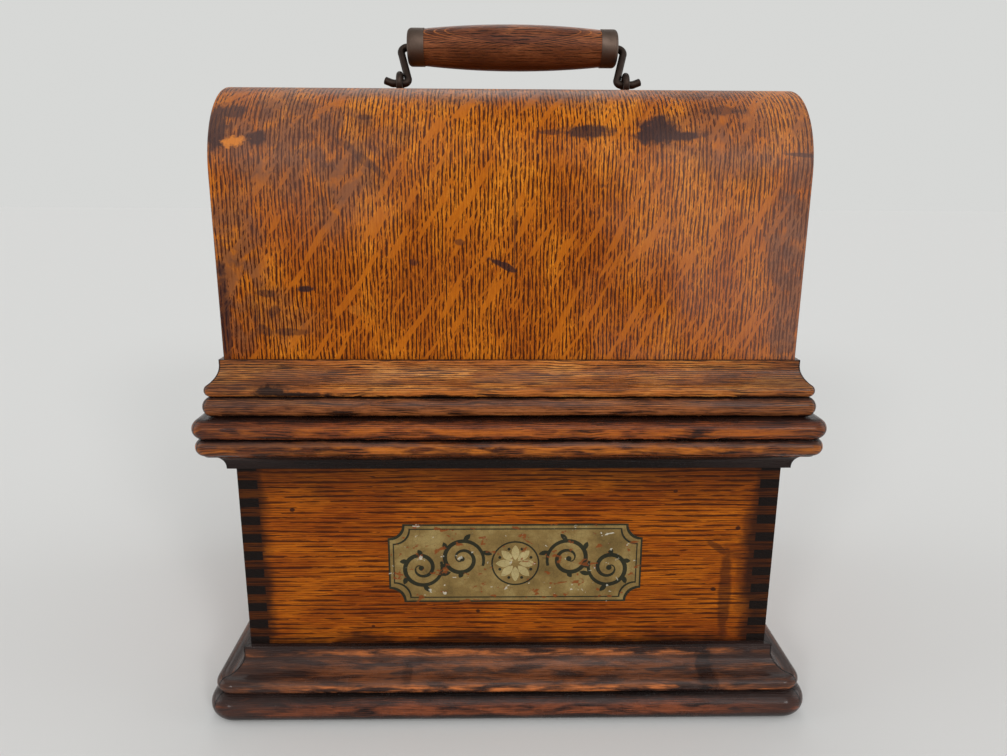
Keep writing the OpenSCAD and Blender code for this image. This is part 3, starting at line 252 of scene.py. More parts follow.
def ribbon(points, widths):
    """Left and right edges of a line that swells and tapers along its points."""
    left, right = [], []
    for i, (x, z) in enumerate(points):
        (x0, z0), (x1, z1) = points[max(i - 1, 0)], points[min(i + 1, len(points) - 1)]
        long = math.hypot(x1 - x0, z1 - z0)
        nx, nz = -(z1 - z0) / long, (x1 - x0) / long
        left.append((x + nx * widths[i] / 2, z + nz * widths[i] / 2))
        right.append((x - nx * widths[i] / 2, z - nz * widths[i] / 2))
    return left, right


def leaf(x, z, turn, long, wide):
    """A pointed leaf that grows from a point at an angle in degrees."""
    c, s = math.cos(math.radians(turn)), math.sin(math.radians(turn))
    line = [(i / 8, wide * math.sin(math.pi * i / 8) ** 0.8) for i in range(9)]
    edge = line + [(a, -b) for a, b in line[-2:0:-1]]
    return [(x + a * long * c - b * s, z + a * long * s + b * c) for a, b in edge]


def volute(cx, cz, radius, start, turns):
    """A scroll that winds in from its outer end to an eye, and the leaves along its back."""
    steps, leaf_steps = 60, (4, 10, 16, 22, 28)
    eye_round, button, thin, swell = 1.2 * MM, 1.4 * MM, 0.6, 1.6
    points, widths = [], []
    leaves = [arc(cx, cz, button, 0, 342, 19)]
    for i in range(steps + 1):
        share = i / steps
        angle = start + 360 * turns * share
        r = radius * (1 - share) ** 0.8 + eye_round
        points.append((cx + r * math.cos(math.radians(angle)), cz + r * math.sin(math.radians(angle))))
        widths.append((thin + swell * math.sin(math.pi * min(share + 0.12, 1.0)) ** 0.7) * MM)
        if i in leaf_steps:
            splay = 38 if turns < 0 else -38
            leaves.append(leaf(*points[-1], angle + splay, (6.0 - 0.08 * i) * MM, 1.25 * MM))
    return ribbon(points, widths), leaves


def print_mesh(name, y_back, y_front, fields, bands, rings):
    """Thin closed slabs on the board's front face. Fields are filled outlines, bands have a left and a right
    edge, and rings an outer and an inner one."""
    shape = bmesh.new()

    def walled(line):
        """The front and back corners of an outline, joined by a wall."""
        front, back = [[shape.verts.new((tablet_x + x, y, tablet_z + z)) for x, z in line]
            for y in (y_front, y_back)]
        for i in range(len(line)):
            shape.faces.new((front[i - 1], back[i - 1], back[i], front[i]))
        return front, back

    for outline in fields:
        for side in walled(outline):
            shape.faces.new(side)
    for left, right in bands:
        for side in walled(left + right[::-1]):
            for i in range(len(left) - 1):
                shape.faces.new((side[i], side[i + 1], side[-2 - i], side[-1 - i]))
    for outer, inner in rings:
        for far, near in zip(walled(outer), walled(inner)):
            for i in range(len(far)):
                shape.faces.new((far[i - 1], far[i], near[i], near[i - 1]))
    bmesh.ops.triangulate(shape, faces=shape.faces[:])
    bmesh.ops.recalc_face_normals(shape, faces=shape.faces[:])
    mesh = bpy.data.meshes.new(name)
    shape.to_mesh(mesh)
    shape.free()
    return mesh


def transfer_print(name, tones, flake):
    """Bronze-powder print under yellowed varnish: cloudy, finely crazed, and flaked to the oak by the share
    of flake."""
    material, tree = new_material(name)
    place = node(tree, "TexCoord", out="Object")
    cloud = node(tree, "TexNoise", place, Scale=1 / (14 * MM), Detail=4.0, Roughness=0.6)
    colour = node(tree, "ValToRGB", cloud, stops=tones)
    crackle = node(tree, "TexVoronoi", place, Scale=1 / (2.2 * MM), feature="DISTANCE_TO_EDGE")
    craze = node(tree, "MapRange", crackle, 0.05, 0.0, 0.0, 0.35)
    colour = node(tree, "Mix", craze, colour, "#3A2A16", data_type="RGBA")
    lost = streaks(tree, place, 6 * MM, 4 * MM, 0.61, 0.64, flake, detail=5.0)
    colour = node(tree, "Mix", lost, colour, "#7A3C0E", data_type="RGBA")
    scraped = streaks(tree, place, 4 * MM, 3 * MM, 0.67, 0.7, flake, detail=4.0)
    colour = node(tree, "Mix", scraped, colour, "#B9B3A2", data_type="RGBA")
    finish_surface(tree, colour, lost, 0.4, 0.1 * MM, Specular_IOR_Level=0.22)
    return material


def printed_piece(name, material, y_back, y_front, fields=(), bands=(), rings=()):
    """One colour of the print, fixed to the case."""
    piece = bpy.data.objects.new(name, print_mesh(name, y_back, y_front, fields, bands, rings))
    scene.collection.objects.link(piece)
    piece.data.materials.append(material)
    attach(piece, "case")


gilt = transfer_print("transfer gilt", [(0.25, "#55431F"), (0.5, "#7C6437"), (0.75, "#9A8654")], 0.9)
ink = transfer_print("transfer dark green", [(0.25, "#141509"), (0.75, "#2A2A18")], 0.7)
cream = transfer_print("transfer cream", [(0.25, "#8E7C4E"), (0.75, "#B8A878")], 0.8)
inner_scroll = volute(27 * MM, 2.5 * MM, 10 * MM, 200, -1.75)
outer_scroll = volute(47.5 * MM, -2.5 * MM, 9.5 * MM, 160, 1.75)
stems, fronds = [], []
for stem, leaves in (inner_scroll, outer_scroll):
    for side in (1, -1):
        stems.append([[(side * x, z) for x, z in line] for line in stem])
        fronds += [[(side * x, z) for x, z in line] for line in leaves]
rims = [[tablet_outline(inset * MM) for inset in pair] for pair in ((0.0, 0.9), (2.4, 3.0))]
halo = [arc(0, 0, radius * MM, 0, 351, 39) for radius in (12.2, 11.4)]
# Eight petals round the middle, with a seed between each pair
petal_roots, seed_places = arc(0, 0, 1.8 * MM, 0, 315, 7), arc(0, 0, 8.5 * MM, 22.5, 337.5, 7)
petals = [leaf(x, z, 45 * i, 8.2 * MM, 2.0 * MM) for i, (x, z) in enumerate(petal_roots)]
seeds = [arc(x, z, 0.8 * MM, 0, 324, 9) for x, z in seed_places]
field_y = -half_d - film
printed_piece("front_ornament_field", gilt, -half_d, field_y, fields=[tablet_outline(0)])
printed_piece("front_ornament_scrolls", ink, field_y, field_y - 0.5 * film, bands=stems, rings=rims + [halo])
printed_piece("front_ornament_leaves", ink, field_y, field_y - 0.4 * film, fields=fronds + seeds)
printed_piece("front_ornament_rosette", cream, field_y, field_y - 0.5 * film, fields=petals)


# Unseen oak
# Bottom panel, rails under the motor board, the board itself and the lip that locates the lid: plain-sawn
# oak, glued and nailed inside the case and only oiled, so paler and dull.
def inner_oak():
    """Plain-sawn oak with one coat of oil: pale, dry and open-pored."""
    material, tree = new_material("oak oiled")
    lie = node(tree, "TexCoord", out="Object")
    tones = [(0.0, "#7A532A"), (0.5, "#9A6E3C"), (1.0, "#B3854C")]
    pore_pitch, pore_run, pore_deep = 2.2 * MM, 18 * MM, 0.1 * MM
    colour, pores = oak_figure(tree, lie, tones, "#52341A", pore_pitch, pore_run, 0.75)
    finish_surface(tree, colour, pores, 0.6, pore_deep)
    return material


dress(inner_oak(), "bottom_panel", "ledger_rails", "motor_board", "locating_lip")


# Base rail, plinth, cornice and cornice bead
# Mitred oak mouldings, four lengths to a frame, glued and pinned to the case. They are stained nearly black
# and rubbed back to red-brown oak where hands and cloths reach; old polish and dirt fill every hollow. Black
# painted shade lies in the hollows and at the joints, and painted sheen in the grey film of old polish.
def moulding_oak(name, tones, pore, shade_and_grime_at, worn_at, worn, film_and_sheen_at=(), film_and_sheen_tint="#6A5148", marks=(),
    gloss=0.17, handled=0.4):
    """Stained oak: fine-lined and reddish where it is rubbed, with black painted shade and dirt in the
    hollows.
    shade_and_grime_at, worn_at and film_and_sheen_at are (level, half width, share) bands in Z: black painted
    shade with dirt at the hollows and joints, stain rubbed back to the wood in the tint worn, and a grey film
    that is old polish with painted sheen. marks are spills on the front length, and handled is the share of
    dark hand grease towards the corners."""
    material, tree = new_material(name)
    # Near-black for the painted shade and dirt of the bands, and for the mitre seams
    shade_and_grime = "#0F0A09"
    place = node(tree, "TexCoord", out="Object")
    x, y, z = node(tree, "SeparateXYZ", place).node.outputs
    # The grain follows each length of the frame and turns at the mitres
    far_x = node(tree, "Math", x, operation="ABSOLUTE")
    far_y = node(tree, "Math", y, operation="ABSOLUTE")
    skew = node(tree, "Math", far_x, far_y, operation="SUBTRACT")
    side = node(tree, "Math", skew, half_w - half_d, operation="GREATER_THAN")
    along = node(tree, "Mix", side, x, y, data_type="FLOAT")
    out = node(tree, "Mix", side, far_y, far_x, data_type="FLOAT")
    # Up and inwards both count as across the grain, so that its lines follow the profile
    inward = -0.7
    round_it = node(tree, "Math", out, inward, z, operation="MULTIPLY_ADD")
    # Its lines drift a little up and down, as in wood that isn't quite straight
    bend_run, bend_rise = 32 * MM, 0.9 * MM
    bend = node(tree, "TexNoise", place, Scale=1 / bend_run, Detail=2.0)
    drift = node(tree, "MapRange", bend, 0.2, 0.8, -bend_rise, bend_rise)
    waved = node(tree, "Math", round_it, drift, operation="ADD")
    lie = node(tree, "CombineXYZ", along, waved, side)
    pore_pitch, pore_run, pore_deep = 1.15 * MM, 13 * MM, 0.1 * MM
    colour, pores = oak_figure(tree, lie, tones, pore, pore_pitch, pore_run, 0.95, 0.59)
    dark = streaks(tree, lie, 24 * MM, 1.3 * MM, 0.55, 0.63, 0.8, detail=6.0)
    colour = node(tree, "Mix", dark, colour, pore, data_type="RGBA")
    # Rubbed places come in patches, with the stain left in fine lines within them
    bare = streaks(tree, lie, 20 * MM, 4 * MM, 0.38, 0.58, detail=5.0)
    lines = streaks(tree, lie, 11 * MM, 0.7 * MM, 0.34, 0.58, detail=4.0)
    lines = node(tree, "MapRange", lines, 0.0, 1.0, 0.3, 1.0)
    patch = node(tree, "Math", bare, lines, operation="MULTIPLY")
    film_and_sheen_cloud = streaks(tree, lie, 40 * MM, 6 * MM, 0.35, 0.6, detail=5.0)
    # The bands are laid over each other with frayed edges
    fray_size, fray = 9 * MM, 0.6 * MM
    cloud = node(tree, "TexNoise", place, Scale=1 / fray_size, Detail=5.0, Roughness=0.6)
    ragged = node(tree, "MapRange", cloud, 0.2, 0.8, -fray, fray)
    level = node(tree, "Math", z, ragged, operation="ADD")
    # The grey film is old polish with painted sheen, and the black bands are painted shade with dirt
    layers = (film_and_sheen_at, film_and_sheen_tint, film_and_sheen_cloud), (worn_at, worn, patch), (shade_and_grime_at, shade_and_grime, 1.0)
    for bands, tint, through in layers:
        for at, half, share in bands:
            apart = node(tree, "Math", level, at, operation="SUBTRACT")
            gap = node(tree, "Math", apart, operation="ABSOLUTE")
            near = node(tree, "MapRange", gap, half, 0.25 * half, 0.0, share, interpolation_type="SMOOTHSTEP")
            laid = node(tree, "Math", near, through, operation="MULTIPLY")
            colour = node(tree, "Mix", laid, colour, tint, data_type="RGBA")
    # Hand grease darkens the corners and polishes them, and a black seam marks each mitre
    grease_ends, grease_full, seam_half = 75 * MM, 12 * MM, 0.9 * MM
    past = node(tree, "Math", skew, half_w - half_d, operation="SUBTRACT")
    from_mitre = node(tree, "Math", past, operation="ABSOLUTE")
    rubbed = node(tree, "MapRange", from_mitre, grease_ends, grease_full, 0.0, handled,
        interpolation_type="SMOOTHSTEP")
    smears = streaks(tree, lie, 34 * MM, 5 * MM, 0.28, 0.5, detail=5.0)
    rubbed = node(tree, "Math", rubbed, smears, operation="MULTIPLY")
    colour = node(tree, "Mix", rubbed, colour, "#30221F", data_type="RGBA")
    seam = node(tree, "MapRange", from_mitre, seam_half, 0.4 * MM, 0.0, 0.9)
    colour = node(tree, "Mix", seam, colour, shade_and_grime, data_type="RGBA")
    if marks:
        face = node(tree, "CombineXYZ", x, z, 0.0)
        facing = node(tree, "Math", y, 0.0, operation="LESS_THAN")
        blots = spots(tree, face, marks, 4 * MM, fray=0.7, soft=0.42)
        spilt = node(tree, "Math", blots, facing, operation="MULTIPLY")
        colour = node(tree, "Mix", spilt, colour, "#140F10", data_type="RGBA")
    polish_full, polish_ends, smoothest, dullest = 10 * MM, 45 * MM, 0.18, 0.34
    rough = node(tree, "MapRange", cloud, 0.25, 0.75, smoothest, dullest)
    polish = node(tree, "MapRange", from_mitre, polish_full, polish_ends, 0.72, 1.0)
    rough = node(tree, "Math", rough, polish, operation="MULTIPLY")
    finish_surface(tree, colour, pores, rough, pore_deep, Specular_IOR_Level=gloss)
    return material


rail_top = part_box("base_rail")[1].z
bead_low, bead_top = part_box("cornice_bead")[0].z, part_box("cornice_bead")[1].z
rail_tones = [(0.0, "#180C0A"), (0.4, "#3A1D15"), (0.75, "#643420"), (1.0, "#945030")]
# Black painted shade with dirt at its foot and top, and painted sheen in the grey film on its top
rail_oak = moulding_oak("oak base rail stained", rail_tones, "#150C0A",
    shade_and_grime_at=[(rail_top, 2.2 * MM, 0.9), (0.0, 7.5 * MM, 0.95)],
    worn_at=[(0.58 * rail_top, 4.5 * MM, 0.8)], worn="#8E4A2A",
    film_and_sheen_at=[(rail_top, 5.5 * MM, 0.8)], film_and_sheen_tint="#3A2D2A", gloss=0.22, handled=0.85)
dress(rail_oak, "base_rail")
plinth_tones = [(0.0, "#241410"), (0.4, "#44271C"), (0.75, "#643B28"), (1.0, "#8E5632")]
plinth_marks = [(101, rail_top / MM + 9, 4.5, 9, 0, 0.75), (-52, rail_top / MM + 8, 2.2, 3, 0, 0.4)]
# Painted sheen in the grey film over its cove, and black painted shade with dirt at its joints
plinth_oak = moulding_oak("oak plinth stained", plinth_tones, "#1A0F0C",
    shade_and_grime_at=[(rail_top, 1.0 * MM, 0.95), (plinth_top, 1.8 * MM, 0.8)],
    worn_at=[(rail_top + 3.4 * MM, 3 * MM, 1.0), (rail_top + 9 * MM, 5 * MM, 0.3),
        (plinth_top - 4 * MM, 2.8 * MM, 0.85)], worn="#C8733C",
    film_and_sheen_at=[(rail_top + 10 * MM, 8 * MM, 0.75)], film_and_sheen_tint="#4A3A34",
    marks=plinth_marks, gloss=0.24, handled=0.85)
dress(plinth_oak, "plinth_moulding")
cornice_tones = [(0.0, "#421E0C"), (0.4, "#6C3516"), (0.75, "#8E4A1F"), (1.0, "#AE6228")]
# Painted shade under the overhang blackens its cove, together with dirt
cornice_oak = moulding_oak("oak cornice stained", cornice_tones, "#1B0D08",
    shade_and_grime_at=[(bead_low, 1.3 * MM, 0.95), (cove_foot + 2 * MM, 8 * MM, 0.98)],
    worn_at=[(bead_low - 4.1 * MM, 3.2 * MM, 0.95)], worn="#BC6A22",
    film_and_sheen_at=[(bead_low - 1.5 * MM, 1.6 * MM, 0.5)])
dress(cornice_oak, "cornice_moulding")
bead_tones = [(0.0, "#48200E"), (0.4, "#783A1A"), (0.75, "#9E5024"), (1.0, "#BC6A2E")]
bead_marks = [(86, bead_low / MM + 4, 3, 1.8, 20, 0.6), (-30, bead_low / MM + 2.5, 5, 1.2, 0, 0.5)]
bead_oak = moulding_oak("oak cornice bead stained", bead_tones, "#1B0D08",
    shade_and_grime_at=[(bead_low, 1.5 * MM, 0.95), (bead_top, 1.1 * MM, 0.85)],
    worn_at=[(0.5 * (bead_low + bead_top), 3.4 * MM, 0.85)], worn="#B4601E", marks=bead_marks)
dress(bead_oak, "cornice_bead")


# Bedplate, standards, pulleys and diaphragm ring
# Sand-cast iron, filed, then japanned black and baked. The bedplate is screwed down on the motor board, and
# the standards stand on it and carry the shafts.
def japanned_iron():
    """Black japan on a casting: glossy, softly uneven, and rubbed brown in clouds."""
    material, tree = new_material("cast iron japanned")
    place = node(tree, "TexCoord", out="Object")
    cloud = node(tree, "TexNoise", place, Scale=1 / (4.5 * MM), Detail=3.0)
    rub = streaks(tree, place, 30 * MM, 30 * MM, 0.55, 0.75, 0.5, detail=4.0)
    colour = node(tree, "Mix", rub, "#0E0D0C", "#2A2521", data_type="RGBA")
    rough = node(tree, "MapRange", cloud, 0.0, 1.0, 0.18, 0.4)
    finish_surface(tree, colour, cloud, rough, 0.2 * MM)
    return material


dress(japanned_iron(), "bedplate", "left_standard", "centre_standard", "right_standard", "mandrel_pulley",
    "drive_pulley", "diaphragm_ring")


# Metal of the works
# Plates, wheels, shafts, screws and levers of brass and steel, turned or filed, some of them nickelled or
# blued. They are screwed, pinned or pressed together and turn in the standards and the motor plates.
def metal(name, colour, tarnish, rough):
    """Worked metal: fine tool lines, and clouds of tarnish that dull the gloss. Real tool lines are finer
    than 0.1 mm; these are drawn at 0.4 mm so that they show."""
    material, tree = new_material(name)
    place = node(tree, "TexCoord", out="Object")
    line, cloud_size = 0.4 * MM, 14 * MM
    tooled = streaks(tree, place, line, 14 * line, 0.2, 0.8)
    cloud = streaks(tree, place, cloud_size, cloud_size, 0.35, 0.7, 0.5, detail=4.0)
    dulled = node(tree, "Mix", cloud, colour, tarnish, data_type="RGBA")
    dull = node(tree, "Math", cloud, 0.35, rough, operation="MULTIPLY_ADD")
    finish_surface(tree, dulled, tooled, dull, 0.03 * MM, Metallic=1.0)
    return material


dress(metal("brass satin", "#C9A458", "#8A6A36", 0.26), "motor_left_plate", "motor_right_plate",
    "crank_escutcheon", "mandrel_gear", "feed_gear", "carriage_sleeve", "speed_screw", "spring_barrel",
    "barrel_cover", "governor_weights")
dress(metal("steel turned", "#A9A7A2", "#6F6A62", 0.3), "deck_screws", "hook_pivots", "motor_pillars",
    "winding_clutch", "hook_studs", "left_hook", "right_hook", "mandrel_shaft", "feed_screw", "winding_arbor",
    "second_arbor", "third_arbor", "governor_spindle")
dress(metal("nickel plate", "#CFCBC2", "#9A9284", 0.16), "feed_tube", "mandrel", "carriage_arm",
    "stylus_lever", "start_lever")
dress(metal("spring steel blued", "#4A5566", "#2A2F38", 0.3), "mainspring")
dress(metal("aluminium turned", "#D6D4D0", "#A8A6A2", 0.3), "reproducer_body")


# Drive belt
# A flat loop of tanned cowhide, skived and glued at its joint. It runs from the motor's drive pulley up to
# the pulley on the mandrel shaft.
def belt_leather():
    """Tanned hide: brown in clouds, dull, with a pebbled grain of about a millimetre."""
    material, tree = new_material("leather belt")
    place = node(tree, "TexCoord", out="Object")
    grain = node(tree, "TexVoronoi", place, Scale=1 / (1.1 * MM))
    cloud = node(tree, "TexNoise", place, Scale=1 / (14 * MM), Detail=4.0)
    colour = node(tree, "ValToRGB", cloud, stops=[(0.3, "#3A2413"), (0.7, "#6B4524")])
    finish_surface(tree, colour, grain, 0.65, 0.15 * MM)
    return material


dress(belt_leather(), "drive_belt")


# Diaphragm
# A disc split from a block of mica and cut round. The iron ring holds its rim in the reproducer, and the
# stylus lever works on its middle.
def split_mica():
    """Mica: clear, with a warm tint and faint clouds where its layers part."""
    material, tree = new_material("mica split")
    place = node(tree, "TexCoord", out="Object")
    cloud = node(tree, "TexNoise", place, Scale=1 / (6 * MM), Detail=5.0)
    colour = node(tree, "ValToRGB", cloud, stops=[(0.35, "#CFC4A8"), (0.7, "#E8E0CC")])
    finish_surface(tree, colour, cloud, 0.12, 0.02 * MM, Transmission_Weight=0.7, IOR=1.58)
    return material


dress(split_mica(), "diaphragm")


# Lid skin and lid ends
# One sheet of quarter-sawn oak, steamed, bent and glued round two oak ends, with its grain up the front, over
# the top and down the back. Rays cross the pores as golden slanting flecks, and spills have left stains.
lid_low, lid_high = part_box("lid_skin")
# The sheet's thickness, its upright wall, the radius of its two shoulders and the rounding of its end edges
skin = 5 * MM
wall_up = 100.3 * MM
shoulder = 41 * MM
edge = 1.2 * MM
lid_half_w, lid_half_d, lid_foot, lid_top = lid_high.x, lid_high.y, lid_low.z, lid_high.z
# A wide crown joins the shoulders and runs smoothly into both
spring = lid_foot + wall_up
shoulder_y = lid_half_d - shoulder
rise = lid_top - spring
crown = (shoulder_y**2 + rise**2 - shoulder**2) / (2 * (rise - shoulder))
crown_z = lid_top - crown
crown_turn = math.atan2(shoulder_y, spring - crown_z)
arc_shoulder, arc_crown = shoulder * (math.pi / 2 - crown_turn), crown * crown_turn
lid_round = 2 * (wall_up + arc_shoulder + arc_crown)


def lid_point(run, inset):
    """Point (y, z) of the lid's outline at a run along its outside from the front foot, moved inwards."""
    back = run > lid_round / 2
    run = lid_round - run if back else run
    if run < wall_up:
        y, z = -(lid_half_d - inset), lid_foot + run
    elif run < wall_up + arc_shoulder:
        angle = (run - wall_up) / shoulder
        y = -shoulder_y - (shoulder - inset) * math.cos(angle)
        z = spring + (shoulder - inset) * math.sin(angle)
    else:
        angle = crown_turn - (run - wall_up - arc_shoulder) / crown
        y, z = -(crown - inset) * math.sin(angle), crown_z + (crown - inset) * math.cos(angle)
    return (-y if back else y), z


def lid_skin_mesh():
    """The bent sheet with rounded end edges. Its UV map holds metres: across the grain, then along it."""
    steps, edge_steps = 160, 4
    runs = [lid_round * i / steps for i in range(steps + 1)]
    bends = [math.pi / 2 * i / edge_steps for i in range(edge_steps + 1)]
    ends = [(lid_half_w - edge * (1 - math.sin(b)), edge * (1 - math.cos(b))) for b in bends]
    stations = [(-x, d) for x, d in reversed(ends)] + [(x, d) for x, d in ends]
    shape = bmesh.new()
    rings = []
    for x, inset in stations:
        outer = [shape.verts.new((x, *lid_point(run, inset))) for run in runs]
        inner = [shape.verts.new((x, *lid_point(run, skin))) for run in runs]
        rings.append((x, outer, inner))
    grain = shape.loops.layers.uv.new("grain")
    where = {}
    for x, outer, inner in rings:
        where.update({v: (x, run) for v, run in zip(outer, runs)})
        where.update({v: (x - math.copysign(skin, x), run) for v, run in zip(inner, runs)})

    def face(*corners):
        """Adds a face whose corners know their place on the sheet."""
        for loop in shape.faces.new(corners).loops:
            loop[grain].uv = where[loop.vert]

    for (_, outer_a, inner_a), (_, outer_b, inner_b) in zip(rings, rings[1:]):
        for i in range(len(runs) - 1):
            face(outer_a[i], outer_b[i], outer_b[i + 1], outer_a[i + 1])
            face(inner_a[i], inner_a[i + 1], inner_b[i + 1], inner_b[i])
        face(outer_a[0], inner_a[0], inner_b[0], outer_b[0])
        face(outer_a[-1], outer_b[-1], inner_b[-1], inner_a[-1])
    (_, left_outer, left_inner), (_, right_outer, right_inner) = rings[0], rings[-1]
    for i in range(len(runs) - 1):
        face(left_outer[i], left_outer[i + 1], left_inner[i + 1], left_inner[i])
        face(right_outer[i], right_inner[i], right_inner[i + 1], right_outer[i + 1])
    mesh = bpy.data.meshes.new("lid_sheet")
    shape.to_mesh(mesh)
    shape.free()
    mesh.shade_smooth()
    mesh.set_sharp_from_angle(angle=math.radians(40))
    return mesh


# Marks on the lid as (across, up from the front foot, half width, half height) in mm, turn and share: dark
# stains, hazes of old polish, pale painted sheen on the varnish, and wood that knocks have bared
lid_stains = [(65.5, 120.8, 8.5, 7.0, 0, 0.92), (68.5, 118.6, 16, 3.0, 0, 0.92),
    (32.3, 120.3, 11, 3.4, 0, 0.85), (17, 120, 6, 1.3, 0, 0.6), (-94.8, 49.6, 3.6, 1.5, 0, 0.9),
    (-3.5, 60.5, 7, 1.3, -24, 0.85), (1.2, 80, 0.5, 26, 0, 0.55), (-112.6, 47.7, 4, 1.6, 0, 0.6),
    (-118, 39, 2.2, 5, 0, 0.5), (-114, 30.5, 4, 2.4, -30, 0.55), (-103, 29.5, 7, 1.8, 0, 0.55),
    (-109.6, 39.5, 3.2, 2.2, 40, 0.55), (-113.8, 116.3, 4.6, 3.6, 20, 0.9), (-45, 62, 2, 1.6, 0, 0.6),
    (-24, 71, 2.2, 1.4, 0, 0.6), (-133, 30, 3, 30, 0, 0.7), (-131, 122, 4.5, 12, 0, 0.85),
    (-126, 130, 8, 3.6, 12, 0.8), (40, 96, 2.5, 1.0, 0, 0.4), (96, 133, 10, 3.0, 0, 0.6),
    (128, 110, 8, 0.8, -4, 0.7), (-66, 127, 3, 1.5, 0, 0.6), (-66, 107, 15, 1.8, -38, 0.5)]
lid_hazes = [(-102, 118, 40, 24, -14, 0.85), (-72, 102, 28, 9, 40, 0.8), (-126, 62, 11, 36, 0, 0.75),
    (-20, 152, 130, 14, 0, 0.8), (128, 60, 9, 75, 0, 0.9), (96, 118, 36, 18, 0, 0.6),
    (-110, 35, 16, 12, 0, 0.5), (-80, 84, 14, 9, 40, 0.5)]
lid_painted_sheen = [(135, 75, 62, 85, 0, 0.2), (-112, 124, 52, 40, 0, 0.14), (0, 165, 160, 14, 0, 0.05)]
lid_bared = [(-123.3, 114.6, 5, 2.4, 14, 0.95), (-72, 40, 3, 2, 0, 0.3)]


def lid_oak():
    """Quarter-sawn oak under dulled varnish: upright dark pores, golden slanting rays, brown hazes."""
    material, tree = new_material("oak lid quarter-sawn")
    grain = node(tree, "UVMap", uv_map="grain")
    u, v, _ = node(tree, "SeparateXYZ", grain).node.outputs
    lie = node(tree, "CombineXYZ", v, u, 0.0)
    slow = streaks(tree, lie, 60 * MM, 26 * MM, 0.3, 0.7, 0.55, detail=3.0)
    fibre = streaks(tree, lie, 5 * MM, 0.6 * MM, 0.3, 0.7, 0.5, detail=3.0)
    tone = node(tree, "Math", slow, fibre, operation="ADD")
    # From the front shoulder on, the sheet is lighter: painted light from above, and fading
    lighter_from, lighter_full = 75 * MM, 125 * MM
    painted_light_and_fade = node(tree, "MapRange", v, lighter_from, lighter_full, 0.0, 0.2, interpolation_type="SMOOTHSTEP")
    tone = node(tree, "Math", tone, painted_light_and_fade, operation="ADD")
    tones = [(0.0, "#8A4008"), (0.4, "#A2520A"), (0.7, "#BA660E"), (1.0, "#D47F1E")]
    colour = node(tree, "ValToRGB", tone, stops=tones)
    # Rays lean from lower left to upper right, steeper towards the right
    slope, bowing = 1.6, 1.2
    bow = node(tree, "Math", u, u, operation="MULTIPLY")
    bowed = node(tree, "Math", bow, -bowing, v, operation="MULTIPLY_ADD")
    climb = node(tree, "Math", u, -slope, bowed, operation="MULTIPLY_ADD")
    slant = node(tree, "CombineXYZ", u, climb, 0.0)
    broad = streaks(tree, slant, 17 * MM, 9 * MM, 0.58, 0.612, detail=1.5, warp=0.0)
    small = streaks(tree, slant, 9 * MM, 5 * MM, 0.61, 0.65, 0.8, detail=2.0, warp=0.0)
    rays = node(tree, "Math", broad, small, operation="MAXIMUM")
    # They gather in long bands across the sheet
    bands = streaks(tree, slant, 60 * MM, 26 * MM, 0.3, 0.46, detail=1.0, warp=0.0)
    rays = node(tree, "Math", rays, bands, operation="MULTIPLY")
    ray_share = 0.6
    golden = node(tree, "Math", rays, ray_share, operation="MULTIPLY")
    colour = node(tree, "Mix", golden, colour, "#AC5C0C", data_type="RGBA")
    # A purple-brown film of old polish dulls the edges and the top
    mottle = streaks(tree, lie, 11 * MM, 8 * MM, 0.3, 0.55, detail=5.0, warp=0.8)
    hazed = spots(tree, grain, lid_hazes, 22 * MM, soft=0.5)
    haze = node(tree, "Math", hazed, mottle, operation="MULTIPLY")
    colour = node(tree, "Mix", haze, colour, "#72462C", data_type="RGBA")
    blots = streaks(tree, lie, 7 * MM, 6 * MM, 0.52, 0.68, 0.6, detail=5.0, warp=0.8)
    blots = node(tree, "Math", hazed, blots, operation="MULTIPLY")
    colour = node(tree, "Mix", blots, colour, "#3C2A29", data_type="RGBA")
    # The rays have hardly any pores
    pore_pitch, pore_run, pore_deep = 1.85 * MM, 5.5 * MM, 0.12 * MM
    dashes = pore_dashes(tree, lie, pore_pitch, pore_run, 0.595, 0.64, 0.97)
    crumbs = pore_dashes(tree, lie, 1.2 * MM, 2.5 * MM, 0.62, 0.68, 0.6)
    pores = node(tree, "Math", dashes, crumbs, operation="MAXIMUM")
    clear = node(tree, "MapRange", rays, 0.0, 1.0, 1.0, 0.1)
    pores = node(tree, "Math", pores, clear, operation="MULTIPLY")
    colour = node(tree, "Mix", pores, colour, "#3A1403", data_type="RGBA")
    stained = spots(tree, grain, lid_stains, 7 * MM, fray=0.6)
    bared = spots(tree, grain, lid_bared, 3 * MM)
    # Pale painted sheen on the varnish at the right, the upper left and the top
    painted_sheen = spots(tree, grain, lid_painted_sheen, 60 * MM, soft=0.9)
    for share, tint in ((stained, "#21151A"), (bared, "#CF7A26"), (painted_sheen, "#A8867C")):
        colour = node(tree, "Mix", share, colour, tint, data_type="RGBA")
    cloud = node(tree, "TexNoise", grain, Scale=1 / (25 * MM), Detail=5.0)
    rough = node(tree, "MapRange", cloud, 0.0, 1.0, 0.3, 0.5)
    finish_surface(tree, colour, pores, rough, pore_deep, Specular_IOR_Level=0.09)
    return material


lid_sheet = bpy.data.objects.new("lid_sheet", lid_skin_mesh())
scene.collection.objects.link(lid_sheet)
lid_sheet.data.materials.append(lid_oak())
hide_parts("lid_skin")
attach(lid_sheet, "lid")

skirt_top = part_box("lid_skirt")[1].z
dress(board_oak("oak lid ends varnished", True, skirt_top, 2 * lid_top), "lid_left_end", "lid_right_end")


